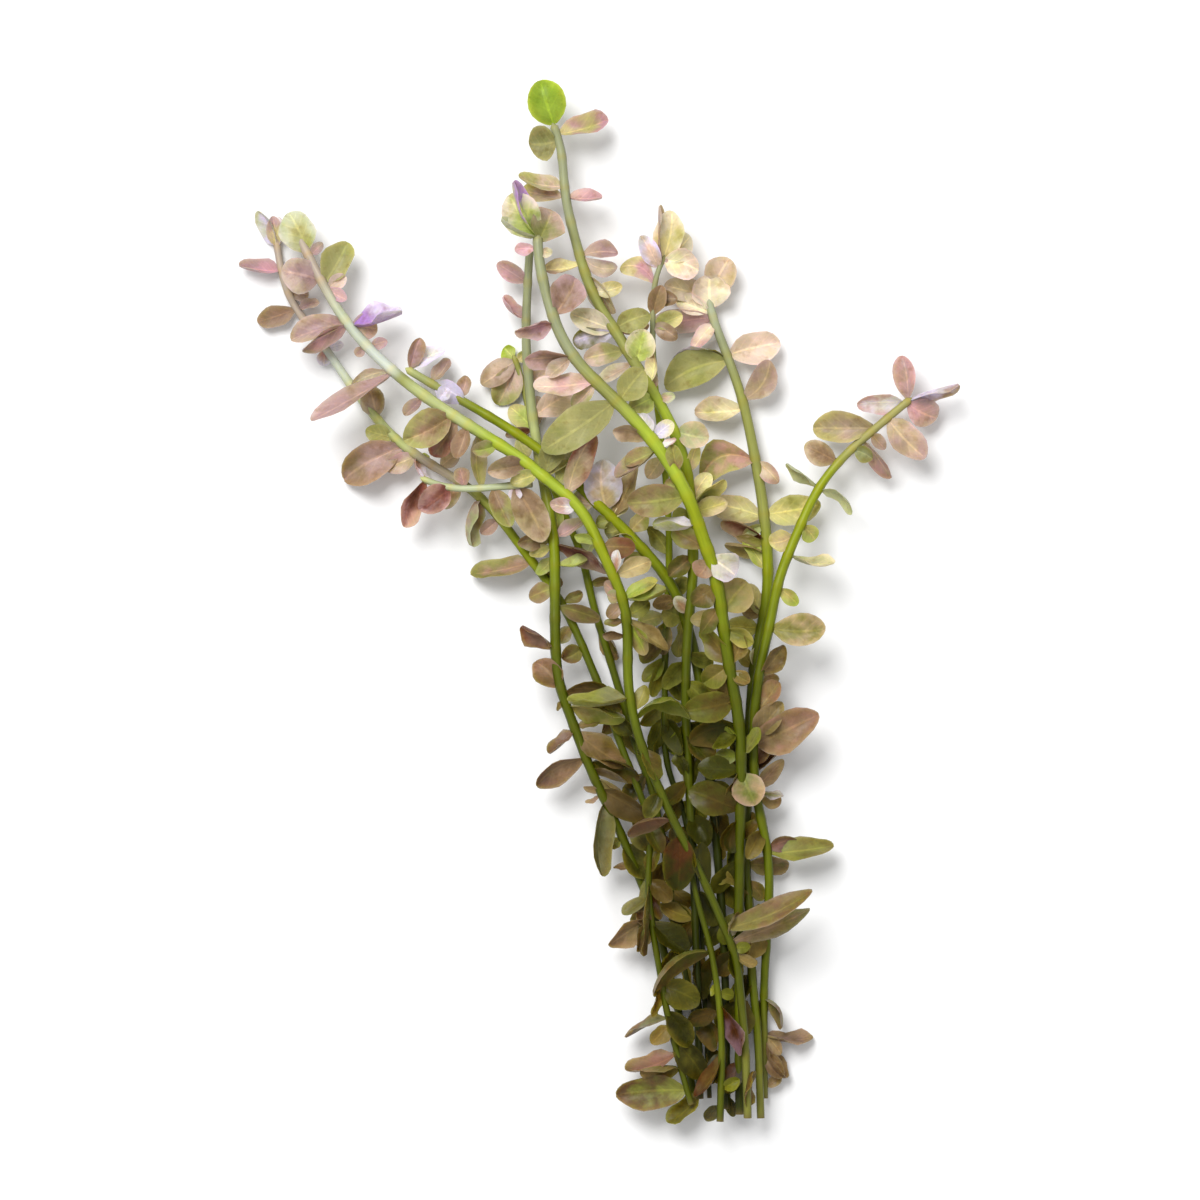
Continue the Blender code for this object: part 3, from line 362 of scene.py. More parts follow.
@dataclass(frozen=True)
class LeafFinish:
    """Living leaf: two tones along the blade, midrib, side veins, painted glow at the rim, painted sheen and
    a duller underside.
    """

    name: str
    under: float = 0.0
    roughness: float = 0.36
    uneven: float = 0.6
    relief: float = 0.00006
    glow: float = 0.25
    glow_colour: Colour = (1.0, 0.7, 0.25)
    glow_reach: float = 0.0012
    specular: float = 0.14
    blotch_scale: float = 330.0
    grain_scale: float = 2600.0
    tone_scatter: float = 1.8
    tone_rim: float = 0.5
    tone_step: tuple[float, float] = (0.15, 0.95)
    rib_side: tuple[float, float] = (0.03, 0.11)
    rib_end: tuple[float, float] = (0.72, 0.98)
    rib_tint: Colour = (1.6, 1.55, 1.35)
    vein_count: float = 6.5
    vein_slant: float = 1.7
    vein_sharpness: float = 9.0
    vein_end: tuple[float, float] = (0.55, 0.95)
    vein_tint: Colour = (1.55, 1.5, 1.4)
    # Painted glow: a pale edge that stands in for light shining through the thin rim of the blade.
    rim_glow_side: tuple[float, float] = (0.78, 1.0)
    rim_glow_cut: tuple[float, float] = (0.35, 0.6)
    rim_glow_tint: Colour = (1.5, 1.3, 1.4)
    grain_tint: Colour = (0.9, 0.88, 0.75)

    def build(self) -> bpy.types.Material:
        """Makes the material.

        Returns:
            The leaf material.
        """
        board = Board(self.name)
        place = board.node("ShaderNodeUVMap", {"uv_map": "UVMap"})
        along = board.node("ShaderNodeSeparateXYZ", inputs={0: place})
        across = Sock(board, along.socket.node.outputs[1])
        side = (across - 0.5).maths("ABSOLUTE") * 2.0
        blotch = board.noise(self.blotch_scale, 3.0)
        grain = board.noise(self.grain_scale)
        to_tip = along + (blotch - 0.5) * self.tone_scatter + (side - 0.4) * self.tone_rim
        to_tip = to_tip.ramp(*self.tone_step)
        colour = board.mix(to_tip, board.attribute("tone", "Color"), board.attribute("tone_tip", "Color"))
        patch = PATCH.share(board)
        # The sheen spots paint light; the patches and stains are the blade's own colour.
        for spots, share in ((PATCH, patch), (PAINTED_SHEEN, PAINTED_SHEEN.share(board)), (STAIN, STAIN.share(board))):
            colour = board.mix(share * spots.strength, colour, spots.tint, "MULTIPLY")
        colour = board.mix((grain - 0.35) * 0.45, colour, self.grain_tint, "SOFT_LIGHT")
        rib = (1.0 - side.ramp(*self.rib_side)) * (1.0 - along.ramp(*self.rib_end))
        phase = (along * self.vein_count - side * self.vein_slant) * math.tau
        vein = (phase.maths("SINE") * 0.5 + 0.5) ** self.vein_sharpness
        vein = vein * (1.0 - side.ramp(*self.vein_end)) * board.attribute("vein")
        colour = board.mix(vein * 0.3, colour, self.vein_tint, "MULTIPLY")
        colour = board.mix(rib * blotch, colour, self.rib_tint, "MULTIPLY")
        # Painted glow: the pale edge stands in for light shining through the thin rim.
        edge = side.ramp(*self.rim_glow_side) * blotch.ramp(*self.rim_glow_cut)
        colour = board.mix(edge * 0.6, colour, self.rim_glow_tint, "MULTIPLY")
        colour = board.mix(self.under, colour, board.attribute("tone_under", "Color"))
        height = (1.0 - rib * 0.6) * 0.6 - vein * 0.25 + grain * 0.25 + patch * 0.8
        others = {"Subsurface Weight": self.glow, "Subsurface Radius": self.glow_colour,
                  "Subsurface Scale": self.glow_reach, "Specular IOR Level": self.specular}
        board.finish(colour, (blotch - 0.5) * self.uneven + self.roughness, height, self.relief, others)
        return board.material


@dataclass(frozen=True)
class StemFinish:
    """Living stem: the tone runs along it, with fine lengthwise streaks and yellower joints."""

    name: str
    roughness: float = 0.36
    uneven: float = 0.2
    relief: float = 0.00005
    glow: float = 0.2
    glow_colour: Colour = (1.0, 0.9, 0.3)
    glow_reach: float = 0.001
    specular: float = 0.2
    streak_scale: float = 3.5
    blotch_scale: float = 260.0
    streak_tint: Colour = (0.85, 0.86, 0.55)
    blotch_tint: Colour = (0.25, 0.3, 0.06)
    cut_tint: Colour = (0.16, 0.11, 0.04)

    def build(self) -> bpy.types.Material:
        """Makes the material.

        Returns:
            The stem material.
        """
        board = Board(self.name)
        streak = board.noise(self.streak_scale, place=board.attribute("grain", "Vector"))
        blotch = board.noise(self.blotch_scale)
        colour = board.attribute("tone", "Color")
        colour = board.mix((streak - 0.3) * 1.1, colour, self.streak_tint, "SOFT_LIGHT")
        colour = board.mix((blotch - 0.45) * 0.5, colour, self.blotch_tint, "MULTIPLY")
        colour = board.mix(board.attribute("joint") * 0.6, colour, board.attribute("tone_tip", "Color"))
        colour = board.mix(board.attribute("cut") * 0.7, colour, self.cut_tint)
        others = {"Subsurface Weight": self.glow, "Subsurface Radius": self.glow_colour,
                  "Subsurface Scale": self.glow_reach, "Specular IOR Level": self.specular}
        board.finish(colour, (blotch - 0.5) * self.uneven + self.roughness, streak, self.relief, others)
        return board.material


def only(item: bpy.types.Object) -> None:
    """Selects one object alone and makes it the active one."""
    bpy.ops.object.select_all(action="DESELECT")
    item.select_set(True)
    bpy.context.view_layer.objects.active = item


@contextmanager
def edit_mode(select: str = "") -> Iterator[None]:
    """Edit mode on the active object, with all or none of it selected first where that is asked."""
    bpy.ops.object.mode_set(mode="EDIT")
    if select:
        bpy.ops.mesh.select_all(action=select)
    yield
    bpy.ops.object.mode_set(mode="OBJECT")


def pick(mesh: bpy.types.Mesh, kind: str, wanted: Callable[[bpy.types.bpy_struct], bool]) -> None:
    """Selects the corners or edges that pass a test, and nothing else.

    Args:
        mesh: the active object's mesh.
        kind: VERT or EDGE.
        wanted: the test.
    """
    with edit_mode():
        bpy.ops.mesh.select_mode(type=kind)
        bpy.ops.mesh.select_all(action="DESELECT")
    for part in mesh.vertices if kind == "VERT" else mesh.edges:
        part.select = wanted(part)


def numbers(mesh: bpy.types.Mesh) -> np.ndarray:
    """Places of a mesh's corners as rows of x, y, z."""
    flat = np.empty(len(mesh.vertices) * 3)
    mesh.vertices.foreach_get("co", flat)
    return flat.reshape(-1, 3)


def write(mesh: bpy.types.Mesh, places: np.ndarray) -> None:
    """Moves a mesh's corners to new places in metres of the shared frame, from the tables' millimetres."""
    mesh.vertices.foreach_set("co", ((places - np.array(BUNCH_MIDDLE)) * MM).ravel())
    mesh.update()


def colour_corners(mesh: bpy.types.Mesh, name: str, colours: np.ndarray) -> None:
    """Stores a linear colour on every corner of a mesh, from one for all or one a corner."""
    rows = np.ones((len(mesh.vertices), 4))
    rows[:, :3] = colours
    layer = mesh.attributes.new(name, "FLOAT_COLOR", "POINT")
    layer.data.foreach_set("color", rows.ravel())


def value_corners(mesh: bpy.types.Mesh, name: str, values: np.ndarray | float) -> None:
    """Stores a number on every corner of a mesh."""
    layer = mesh.attributes.new(name, "FLOAT", "POINT")
    layer.data.foreach_set("value", np.broadcast_to(values, len(mesh.vertices)).astype(float))


@dataclass
class BladeForm:
    """The one blade that every leaf is copied from: x along it from 0 to 1, y across from -1 to 1."""

    places: tuple[float, ...] = (0.0, 0.07, 0.18, 0.33, 0.49, 0.65, 0.79, 0.9, 0.97, 1.0)
    widths: tuple[float, ...] = (0.2, 0.42, 0.7, 0.92, 1.0, 0.96, 0.82, 0.6, 0.34, 0.13)
    columns: int = 4
    cup: float = 0.32
    cup_power: float = 1.4
    thickness: float = 0.1
    rib: float = 0.1
    rib_groove: float = 0.4
    parked: float = 4.0
    weld: float = 0.0005

    def build(self) -> bpy.types.Object:
        """Models the blade: a grid drawn in to an oval, cupped, and doubled for its underside.

        Returns:
            The blade, with the upper side in material slot 0 and the underside in slot 1.
        """
        bpy.ops.object.select_all(action="DESELECT")
        rows = len(self.places) - 1
        bpy.ops.mesh.primitive_grid_add(x_subdivisions=rows, y_subdivisions=self.columns, size=2.0)
        blade = bpy.context.object
        blade.name = "blade_form"
        for row, (place, width) in enumerate(zip(self.places, self.widths)):
            self.draw_in(blade, 2.0 * row / rows - 1.0, place, width)
        self.close_below(blade)
        blade.data.materials.append(None)
        blade.data.materials.append(None)
        for face in blade.data.polygons:
            face.material_index = int(face.normal.z < 0.0)
        return blade

    def draw_in(self, blade: bpy.types.Object, from_x: float, place: float, width: float) -> None:
        """Narrows one row of the grid and parks it beyond the rows that are still to be drawn in.

        Args:
            blade: the grid.
            from_x: x of the row in the grid as it was added.
            place: its share of the blade's length.
            width: its share of the blade's width.
        """
        only(blade)
        pick(blade.data, "VERT", lambda corner: abs(corner.co.x - from_x) < SAME_PLACE)
        with edit_mode():
            bpy.ops.transform.resize(value=(1.0, width, 1.0))
            bpy.ops.transform.translate(value=(place + self.parked - from_x, 0.0, 0.0))

    def close_below(self, blade: bpy.types.Object) -> None:
        """Cups the parked blade and gives it a rounded underside that meets the upper side at the rim.

        Args:
            blade: the oval sheet.
        """
        only(blade)
        with edit_mode("SELECT"):
            bpy.ops.transform.translate(value=(-self.parked, 0.0, 0.0))
            bpy.ops.mesh.duplicate()
            bpy.ops.mesh.flip_normals()
        rib_edge = 0.5 - 1.0 / self.columns
        for corner in blade.data.vertices:
            width = np.interp(corner.co.x, self.places, self.widths)
            out = abs(corner.co.y) / width
            inside = out < 0.99 and SAME_PLACE < corner.co.x < 1.0 - SAME_PLACE
            corner.co.z = self.cup * width * out ** self.cup_power
            if inside and corner.select:
                corner.co.z -= self.thickness * width + (self.rib if out < rib_edge else 0.0)
            elif inside and out < rib_edge:
                corner.co.z -= self.rib_groove * self.rib
        with edit_mode("SELECT"):
            bpy.ops.mesh.remove_doubles(threshold=self.weld)


@dataclass
class StemLine:
    """Middle line of a stem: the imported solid's bent run, and a smooth one for what is seen."""

    route: tuple[tuple[float, float], ...]
    heights: dict[float, float]
    radius: float
    height_axis: int
    corners: list[Vector] = field(init=False)
    smooth: np.ndarray = field(init=False)
    ways: np.ndarray = field(init=False)

    def __post_init__(self) -> None:
        """Works out both lines."""
        line = [Vector((*spot, self.height(spot[self.height_axis]))) for spot in self.route]
        self.corners = thinned(line, STEM_SLACK)
        rough = np.array(line)
        reach = np.concatenate([[0.0], np.cumsum(np.linalg.norm(np.diff(rough, axis=0), axis=1))])
        steps = np.linspace(0.0, reach[-1], int(reach[-1] / SMOOTH_STEP) + 1)
        dense = columns_at(steps, reach, rough)
        first = 2.0 * dense[0] - dense[SMOOTH_REACH:0:-1]
        last = 2.0 * dense[-1] - dense[-2:-SMOOTH_REACH - 2:-1]
        padded = np.concatenate([first, dense, last])
        weights = np.hanning(2 * SMOOTH_REACH + 3)[1:-1]
        weights /= weights.sum()
        self.smooth = np.stack([np.convolve(column, weights, "valid") for column in padded.T], axis=1)
        runs = np.linalg.norm(np.diff(self.smooth, axis=0), axis=1)
        self.ways = np.concatenate([[0.0], np.cumsum(runs)])

    def height(self, place: float) -> float:
        """Height of the line at a place along its height axis."""
        places = sorted(self.heights)
        return float(np.interp(place, places, [self.heights[spot] for spot in places]))

    def nearest(self, x: float, y: float) -> tuple[Vector, float]:
        """The point of the bent line nearest to x, y seen from above.

        Args:
            x: place across the bunch.
            y: place along the bunch.

        Returns:
            The point and its way from the stem's tip.
        """
        target = Vector((x, y))
        line = self.corners
        inner = [line[0] + (line[1] - line[0]).normalized() * STEM_END, *line[1:-1],
                 line[-1] + (line[-2] - line[-1]).normalized() * STEM_END]
        best, nearest, best_way, travelled = inner[0], math.inf, 0.0, STEM_END
        for start, end in zip(inner, inner[1:]):
            run = (end - start).to_2d()
            share = (target - start.to_2d()).dot(run) / max(run.length_squared, SHORTEST_RUN)
            share = min(1.0, max(0.0, share))
            point = start.lerp(end, share)
            if (point.to_2d() - target).length < nearest:
                best, nearest = point, (point.to_2d() - target).length
                best_way = travelled + share * (end - start).length
            travelled += (end - start).length
        return best, best_way

    def on_smooth(self, point: Vector) -> tuple[Vector, float]:
        """The point of the smooth line nearest to a point, and its way from the tip."""
        index = int(np.argmin(np.linalg.norm(self.smooth - np.array(point), axis=1)))
        return Vector(self.smooth[index]), float(self.ways[index])

    def thick(self, way: np.ndarray | float) -> np.ndarray | float:
        """Half thickness of the stem at a way from its tip."""
        grown = STEM_TIP_SHARE + (1.0 - STEM_TIP_SHARE) * np.minimum(1.0, way / STEM_TIP_LENGTH)
        thinning = np.clip((way - STEM_FOOT_START) / STEM_FOOT_LENGTH, 0.0, 1.0)
        return self.radius * grown * (1.0 - (1.0 - STEM_FOOT_SHARE) * thinning)


def columns_at(places: np.ndarray | float, known: np.ndarray | list[float], rows: np.ndarray) -> np.ndarray:
    """Rows read off a table between its own rows.

    Args:
        places: where to read.
        known: places of the table's rows, rising.
        rows: the table, one row a place.

    Returns:
        The rows at the places.
    """
    return np.stack([np.interp(places, known, column) for column in rows.T], axis=-1)


def thinned(line: list[Vector], slack: float) -> list[Vector]:
    """The same line without the points that a straight run passes within the slack.

    Args:
        line: points in space.
        slack: largest distance of a point that is left out.

    Returns:
        The points that stay.
    """
    if len(line) < 3:
        return line
    run = (line[-1] - line[0]).normalized()
    away = [((p - line[0]) - run * (p - line[0]).dot(run)).length for p in line[1:-1]]
    far = max(range(len(away)), key=away.__getitem__) + 1
    if away[far - 1] <= slack:
        return [line[0], line[-1]]
    return thinned(line[:far + 1], slack)[:-1] + thinned(line[far:], slack)


@dataclass(frozen=True)
class Leaf:
    """One leaf: base and tip seen from above, seen width, root and rim tones, and how far it bows aside."""

    base_x: float
    base_y: float
    tip_x: float
    tip_y: float
    width: float
    tones: str
    bow: float = 0.0


@dataclass
class GrownLeaf:
    """A leaf in space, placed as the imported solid's leaf is."""

    base: Vector
    root: Vector
    tip: Vector
    width: float
    turn: float
    bow: Vector
    tones: str
    width_share: float = 1.0

    @classmethod
    def from_row(cls, row: Leaf, line: StemLine, index: int) -> "GrownLeaf":
        """Plans a leaf of the tables.

        Args:
            row: the leaf's row.
            line: the stem that it grows on.
            index: its number on the stem.

        Returns:
            The leaf before it gives way to its neighbours.
        """
        base, way = line.nearest(row.base_x, row.base_y)
        reach = (Vector((row.tip_x, row.tip_y)) - base.to_2d()).length
        tip = Vector((row.tip_x, row.tip_y, base.z + LIFT_SHARE * reach * math.sin(LIFT_TURN * index)))
        depth = max(NECK_LEAST, STEM_FLAT * float(line.thick(way)) - NECK_DEPTH)
        root = base + (tip - base).normalized() * depth
        width = max(row.width, min(BLADE_SHARE * reach, BLADE_WIDEST))
        turn = math.acos(row.width / width) * (1 if index % 2 else -1)
        sideways = row.bow + math.sin(turn) * (BLADE_SPRING * reach + BLADE_MIDDLE * width)
        bow = Vector((base.y - tip.y, tip.x - base.x, 0)).normalized() * sideways
        return cls(base, root, tip, width, turn, bow, row.tones)

    def tried(self, lift: float, length_share: float, width_share: float) -> "GrownLeaf":
        """The leaf with its tip raised and its blade cut down.

        Args:
            lift: rise of the tip.
            length_share: length that stays.
            width_share: width that stays.

        Returns:
            The changed leaf.
        """
        tip = self.root + (self.tip - self.root) * length_share + Vector((0, 0, lift))
        return replace(self, tip=tip, width_share=width_share)

    def axes(self) -> tuple[Vector, Vector]:
        """Directions across the blade and out of its upper face."""
        along = (self.tip - self.root).normalized()
        up = Vector((0, 0, 1)) - along * along.z
        if up.length < STEEP:
            up = Vector((0, 1, 0)) - along * along.y
        up.normalize()
        face = up * math.cos(self.turn) + along.cross(up) * math.sin(self.turn)
        return along.cross(face), face

    def solid_corners(self) -> list[Vector]:
        """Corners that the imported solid's blade has: its tip, and both edges of each ring."""
        across, face = self.axes()
        length = (self.tip - self.root).length
        half = 0.5 * self.width * self.width_share
        corners = [self.tip]
        for share, wide in SMALL_RING if length * self.width < SMALL_BLADE else BLADE_RINGS:
            spring = 4 * share * (1 - share)
            place = self.root + (self.tip - self.root) * share
            place += (face * BLADE_SPRING * length + self.bow) * spring
            for side in (-1, 1):
                corners.append(place + across * side * half * wide + face * BLADE_CUP * 2 * half * wide)
        return corners

    def settled(self, solid: KDTree) -> "GrownLeaf | None":
        """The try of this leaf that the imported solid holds.

        Args:
            solid: the corners of the leaf's node.

        Returns:
            The leaf as it was packed, or nothing where it was left out.
        """
        best, most = None, 0
        for trial in LEAF_TRIES:
            leaf = self.tried(*trial)
            corners = [(corner - BUNCH_MIDDLE) * MM for corner in leaf.solid_corners()]
            found = sum(solid.find(corner)[2] < SAME_CORNER for corner in corners)
            if found > most:
                best, most = leaf, found
        return best

    def shape(self, form: np.ndarray, line: StemLine, chance: np.random.Generator) -> np.ndarray:
        """Bends the one blade into this leaf.

        Args:
            form: corners of the blade form.
            line: the stem, whose smooth surface the leaf starts on.
            chance: source of the small differences between leaves.

        Returns:
            The leaf's corners in millimetres.
        """
        spot, way = line.on_smooth(self.base)
        start = spot + (self.tip - spot).normalized() * float(line.thick(way)) * LEAF_START
        across, face = self.axes()
        length = (self.tip - start).length
        crowd = (1.0 - outer_share(self.tip.x)) * (self.tip.y < 0.0)
        half = 0.5 * self.width * (WIDE_SHARE + INNER_WIDER * crowd)
        share, side, rise = form.T
        bends = {name: chance.uniform(*span) for name, span in LEAF_BENDS.items()}
        share = share ** bends["fullness"]
        spring = 4 * share * (1 - share)
        lift = BLADE_SPRING * length * spring + bends["curl"] * length * (share ** 3 - share) * 0.5
        wave = np.sin(WAVE_RUN * share + WAVE_SLANT * side + bends["phase"])
        lift = lift + half * (bends["fold"] * rise + bends["wave"] * np.abs(side) * wave)
        turned = bends["twist"] * (share - TWIST_MIDDLE)
        rim = 1.0 + bends["notch"] * np.sin(NOTCH_RUN * share + bends["phase"]) * np.sign(side)
        out = half * (side * rim + bends["lean"] * spring * (1.0 - side * side) + bends["hook"] * share ** 3)
        spread = out * np.cos(turned) - lift * np.sin(turned) * TWIST_DRAW
        lift = lift + out * np.sin(turned)
        middle = np.array(start) + np.outer(share, self.tip - start) + np.outer(spring, self.bow)
        return middle + np.outer(spread, across) + np.outer(lift, face)


@dataclass
class Shoot:
    """A stem with its leaves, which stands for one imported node."""

    name: str
    slot: Slot
    radius: float
    stem_tones: dict[float, str]
    route: tuple[tuple[float, float], ...]
    heights: dict[float, float]
    leaves: tuple[tuple, ...]
    height_axis: int = 1
    line: StemLine = field(init=False)

    def __post_init__(self) -> None:
        """Works out the stem's middle line."""
        self.line = StemLine(self.route, self.heights, self.radius, self.height_axis)

    def build(self, form: bpy.types.Object, paints: "Paints", seed: int) -> None:
        """Makes the stem and the leaves, and hangs both on the frame.

        Args:
            form: the one blade.
            paints: materials of this shoot's slot.
            seed: number that the small differences follow from.
        """
        chance = np.random.default_rng(seed)
        grown = self.grown_leaves()
        stem = self.model_stem(grown, paints)
        foliage = self.model_leaves(grown, form, paints, chance)
        for piece in (stem, foliage):
            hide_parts(self.name)
            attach(piece, "root")
            LOG.info("%s: %d faces", piece.name, len(piece.data.polygons))

    def grown_leaves(self) -> list[GrownLeaf]:
        """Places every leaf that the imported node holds.

        Returns:
            The leaves of the table, apart from those that had no room.
        """
        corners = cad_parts[self.name].data.vertices
        solid = KDTree(len(corners))
        for index, corner in enumerate(corners):
            solid.insert(corner.co, index)
        solid.balance()
        plans = [GrownLeaf.from_row(Leaf(*row), self.line, index) for index, row in enumerate(self.leaves)]
        grown = [leaf for leaf in (plan.settled(solid) for plan in plans) if leaf]
        LOG.info("%s: %d of %d leaves are in the solid", self.name, len(grown), len(plans))
        return grown

    def model_leaves(self, grown: list[GrownLeaf], form: bpy.types.Object, paints: "Paints",
                     chance: np.random.Generator) -> bpy.types.Object:
        """Copies the blade for every leaf, bends each copy into place and joins them.

        Args:
            grown: the leaves.
            form: the one blade.
            paints: materials of this shoot's slot.
            chance: source of the small differences.

        Returns:
            The foliage.
        """
        unit = numbers(form.data)
        blades = []
        for leaf in grown:
            mesh = form.data.copy()
            blade = bpy.data.objects.new("blade", mesh)
            bpy.context.scene.collection.objects.link(blade)
            write(mesh, leaf.shape(unit, self.line, chance))
            outer = outer_share(leaf.tip.x)
            shade = shade_at(INNER_SHADES, leaf.base.y) * (1.0 - outer)
            shade = (shade + shade_at(OUTER_SHADES, leaf.base.y) * outer) * chance.uniform(*LEAF_SHADES)
            root, rim = (Tone[letter].linear(shade) for letter in leaf.tones)
            colour_corners(mesh, "tone", root)
            colour_corners(mesh, "tone_tip", rim)
            colour_corners(mesh, "tone_under", Tone.M.linear(shade * UNDER_SHADE))
            value_corners(mesh, "vein", chance.uniform(*VEIN_SPAN))
            blades.append(blade)
        bpy.ops.object.select_all(action="DESELECT")
        for blade in blades:
            blade.select_set(True)
        bpy.context.view_layer.objects.active = blades[0]
        bpy.ops.object.join()
        foliage = bpy.context.object
        foliage.name = self.name.replace("_shoot", "_leaves")
        foliage.data.materials.clear()
        foliage.data.materials.append(paints.leaf)
        foliage.data.materials.append(paints.underside)
        only(foliage)
        bpy.ops.object.shade_smooth_by_angle(angle=LEAF_SMOOTH)
        return foliage

    def joints(self, grown: list[GrownLeaf]) -> list[float]:
        """Ways of the stem's joints from its tip: one at each group of leaves, and more on the bare runs.

        Args:
            grown: the leaves.

        Returns:
            The ways in order.
        """
        ways = sorted(self.line.on_smooth(leaf.base)[1] for leaf in grown)
        found = [ways[0]]
        for way in ways[1:] + [float(self.line.ways[-1])]:
            if way - found[-1] > JOINT_SPACING:
                count = int((way - found[-1]) / JOINT_SPACING)
                step = (way - found[-1]) / (count + 1)
                found += [found[-1] + step * (number + 1) for number in range(count)]
            if way - found[-1] > JOINT_MERGE:
                found.append(way)
        return found[:-1]

    def model_stem(self, grown: list[GrownLeaf], paints: "Paints") -> bpy.types.Object:
        """Models the stem: a cylinder cut into rings, laid along the smooth line and swollen at its joints.

        Args:
            grown: the leaves, which settle the joints.
            paints: materials of this shoot's slot.

        Returns:
            The stem.
        """
        stem = self.ringed_cylinder()
        unit = numbers(stem.data)
        length = float(self.line.ways[-1])
        way = unit[:, 2] * length
        joint, swell = (np.max([np.exp(-((way - spot) / reach) ** 2) for spot in self.joints(grown)], axis=0)
                        for reach in (JOINT_LENGTH, SWELL_LENGTH))
        middle = columns_at(way, self.line.ways, self.line.smooth)
        ahead = columns_at(way, self.line.ways, np.gradient(self.line.smooth, axis=0))
        ahead /= np.linalg.norm(ahead, axis=1, keepdims=True)
        level = np.cross(ahead, (0.0, 0.0, 1.0))
        level /= np.linalg.norm(level, axis=1, keepdims=True)
        upright = np.cross(level, ahead)
        angle = np.arctan2(unit[:, 1], unit[:, 0])
        tip_round = np.sqrt(np.clip(way, *TIP_ROUND))
        out = np.hypot(unit[:, 0], unit[:, 1]) * self.line.thick(way) * (STEM_SLIM + JOINT_SWELL * swell)
        ring = level * np.cos(angle)[:, None] + upright * np.sin(angle)[:, None]
        write(stem.data, middle + ring * (out * tip_round)[:, None])
        grain = np.stack([np.cos(angle), np.sin(angle), way * GRAIN_STEP], axis=1)
        grain += self.radius * GRAIN_SHIFT
        layer = stem.data.attributes.new("grain", "FLOAT_VECTOR", "POINT")
        layer.data.foreach_set("vector", grain.ravel())
        self.colour_stem(stem.data, middle[:, 1], angle)
        value_corners(stem.data, "joint", joint)
        value_corners(stem.data, "cut", np.clip((way - length + CUT_LENGTH) / CUT_LENGTH, 0.0, 1.0))
        stem.name = self.name.replace("_shoot", "_stem")
        stem.data.materials.append(paints.stem)
        only(stem)
        bpy.ops.object.shade_smooth_by_angle(angle=STEM_SMOOTH)
        return stem

    def colour_stem(self, mesh: bpy.types.Mesh, along: np.ndarray, angle: np.ndarray) -> None:
        """Stores the stem's tones with painted shade: darker in the foot's shade, and darker on the sides and
        underside than along the lit top.

        Args:
            mesh: the stem's mesh.
            along: place of each corner along the bunch.
            angle: its angle around the stem, a quarter turn at the top.
        """
        stops = sorted(self.stem_tones)
        tones = np.array([linear(StemTone[self.stem_tones[stop]].value) for stop in stops])
        tone = columns_at(along, stops, tones) * shade_at(INNER_SHADES, along) ** STEM_SHADE
        # Painted shade: darker sides and underside, lighter along the top, as the light falls.
        away = 1.0 - np.clip(np.sin(angle), 0.0, 1.0)
        tone *= (1.0 - away * np.interp(along, *SIDE_PAINTED_SHADE))[:, None]
        colour_corners(mesh, "tone", tone)
        colour_corners(mesh, "tone_tip", tone * JOINT_TINT)

    def ringed_cylinder(self) -> bpy.types.Object:
        """Adds a unit cylinder and cuts its long edges twice, which leaves even rings along it.

        Returns:
            The cylinder, from 0 to 1 along Z.
        """
        bpy.ops.object.select_all(action="DESELECT")
        bpy.ops.mesh.primitive_cylinder_add(vertices=STEM_SIDES, radius=1.0, depth=1.0,
                                            end_fill_type="TRIFAN", location=(0.0, 0.0, 0.0))
        stem = bpy.context.object
        cuts = max(RING_CUTS, int(math.sqrt(self.line.ways[-1] / RING_STEP)))
        for _ in range(2):
            heights = numbers(stem.data)[:, 2]
            pick(stem.data, "EDGE", lambda edge: np.ptp(heights[list(edge.vertices)]) > SAME_PLACE)
            with edit_mode():
                bpy.ops.mesh.subdivide(number_cuts=cuts)
        with edit_mode("SELECT"):
            bpy.ops.transform.translate(value=(0.0, 0.0, 0.5))
        return stem


def outer_share(x: float) -> float:
    """How far a place lies outside the foot's crowd of stems, from 0 to 1."""
    return float(np.interp(abs(x - FOOT_MIDDLE), FOOT_SPAN, (0.0, 1.0)))


def shade_at(table: dict[float, Colour], along: np.ndarray | float) -> np.ndarray:
    """Shares of red, green and blue that are left this far up the bunch."""
    return columns_at(along, list(table), np.array(list(table.values())))


@dataclass
class Paints:
    """The three living materials of one slot."""

    leaf: bpy.types.Material
    underside: bpy.types.Material
    stem: bpy.types.Material

    @classmethod
    def of_slot(cls, slot: Slot) -> "Paints":
        """Mixes the materials of a slot.

        Args:
            slot: the record's slot.

        Returns:
            The materials.
        """
        name = slot.value.replace("_shoot", "")
        finishes = (LeafFinish(f"{name}_leaf"), LeafFinish(f"{name}_leaf_underside", under=0.5),
                    StemFinish(f"{name}_stem"))
        return cls(*(finish.build() for finish in finishes))


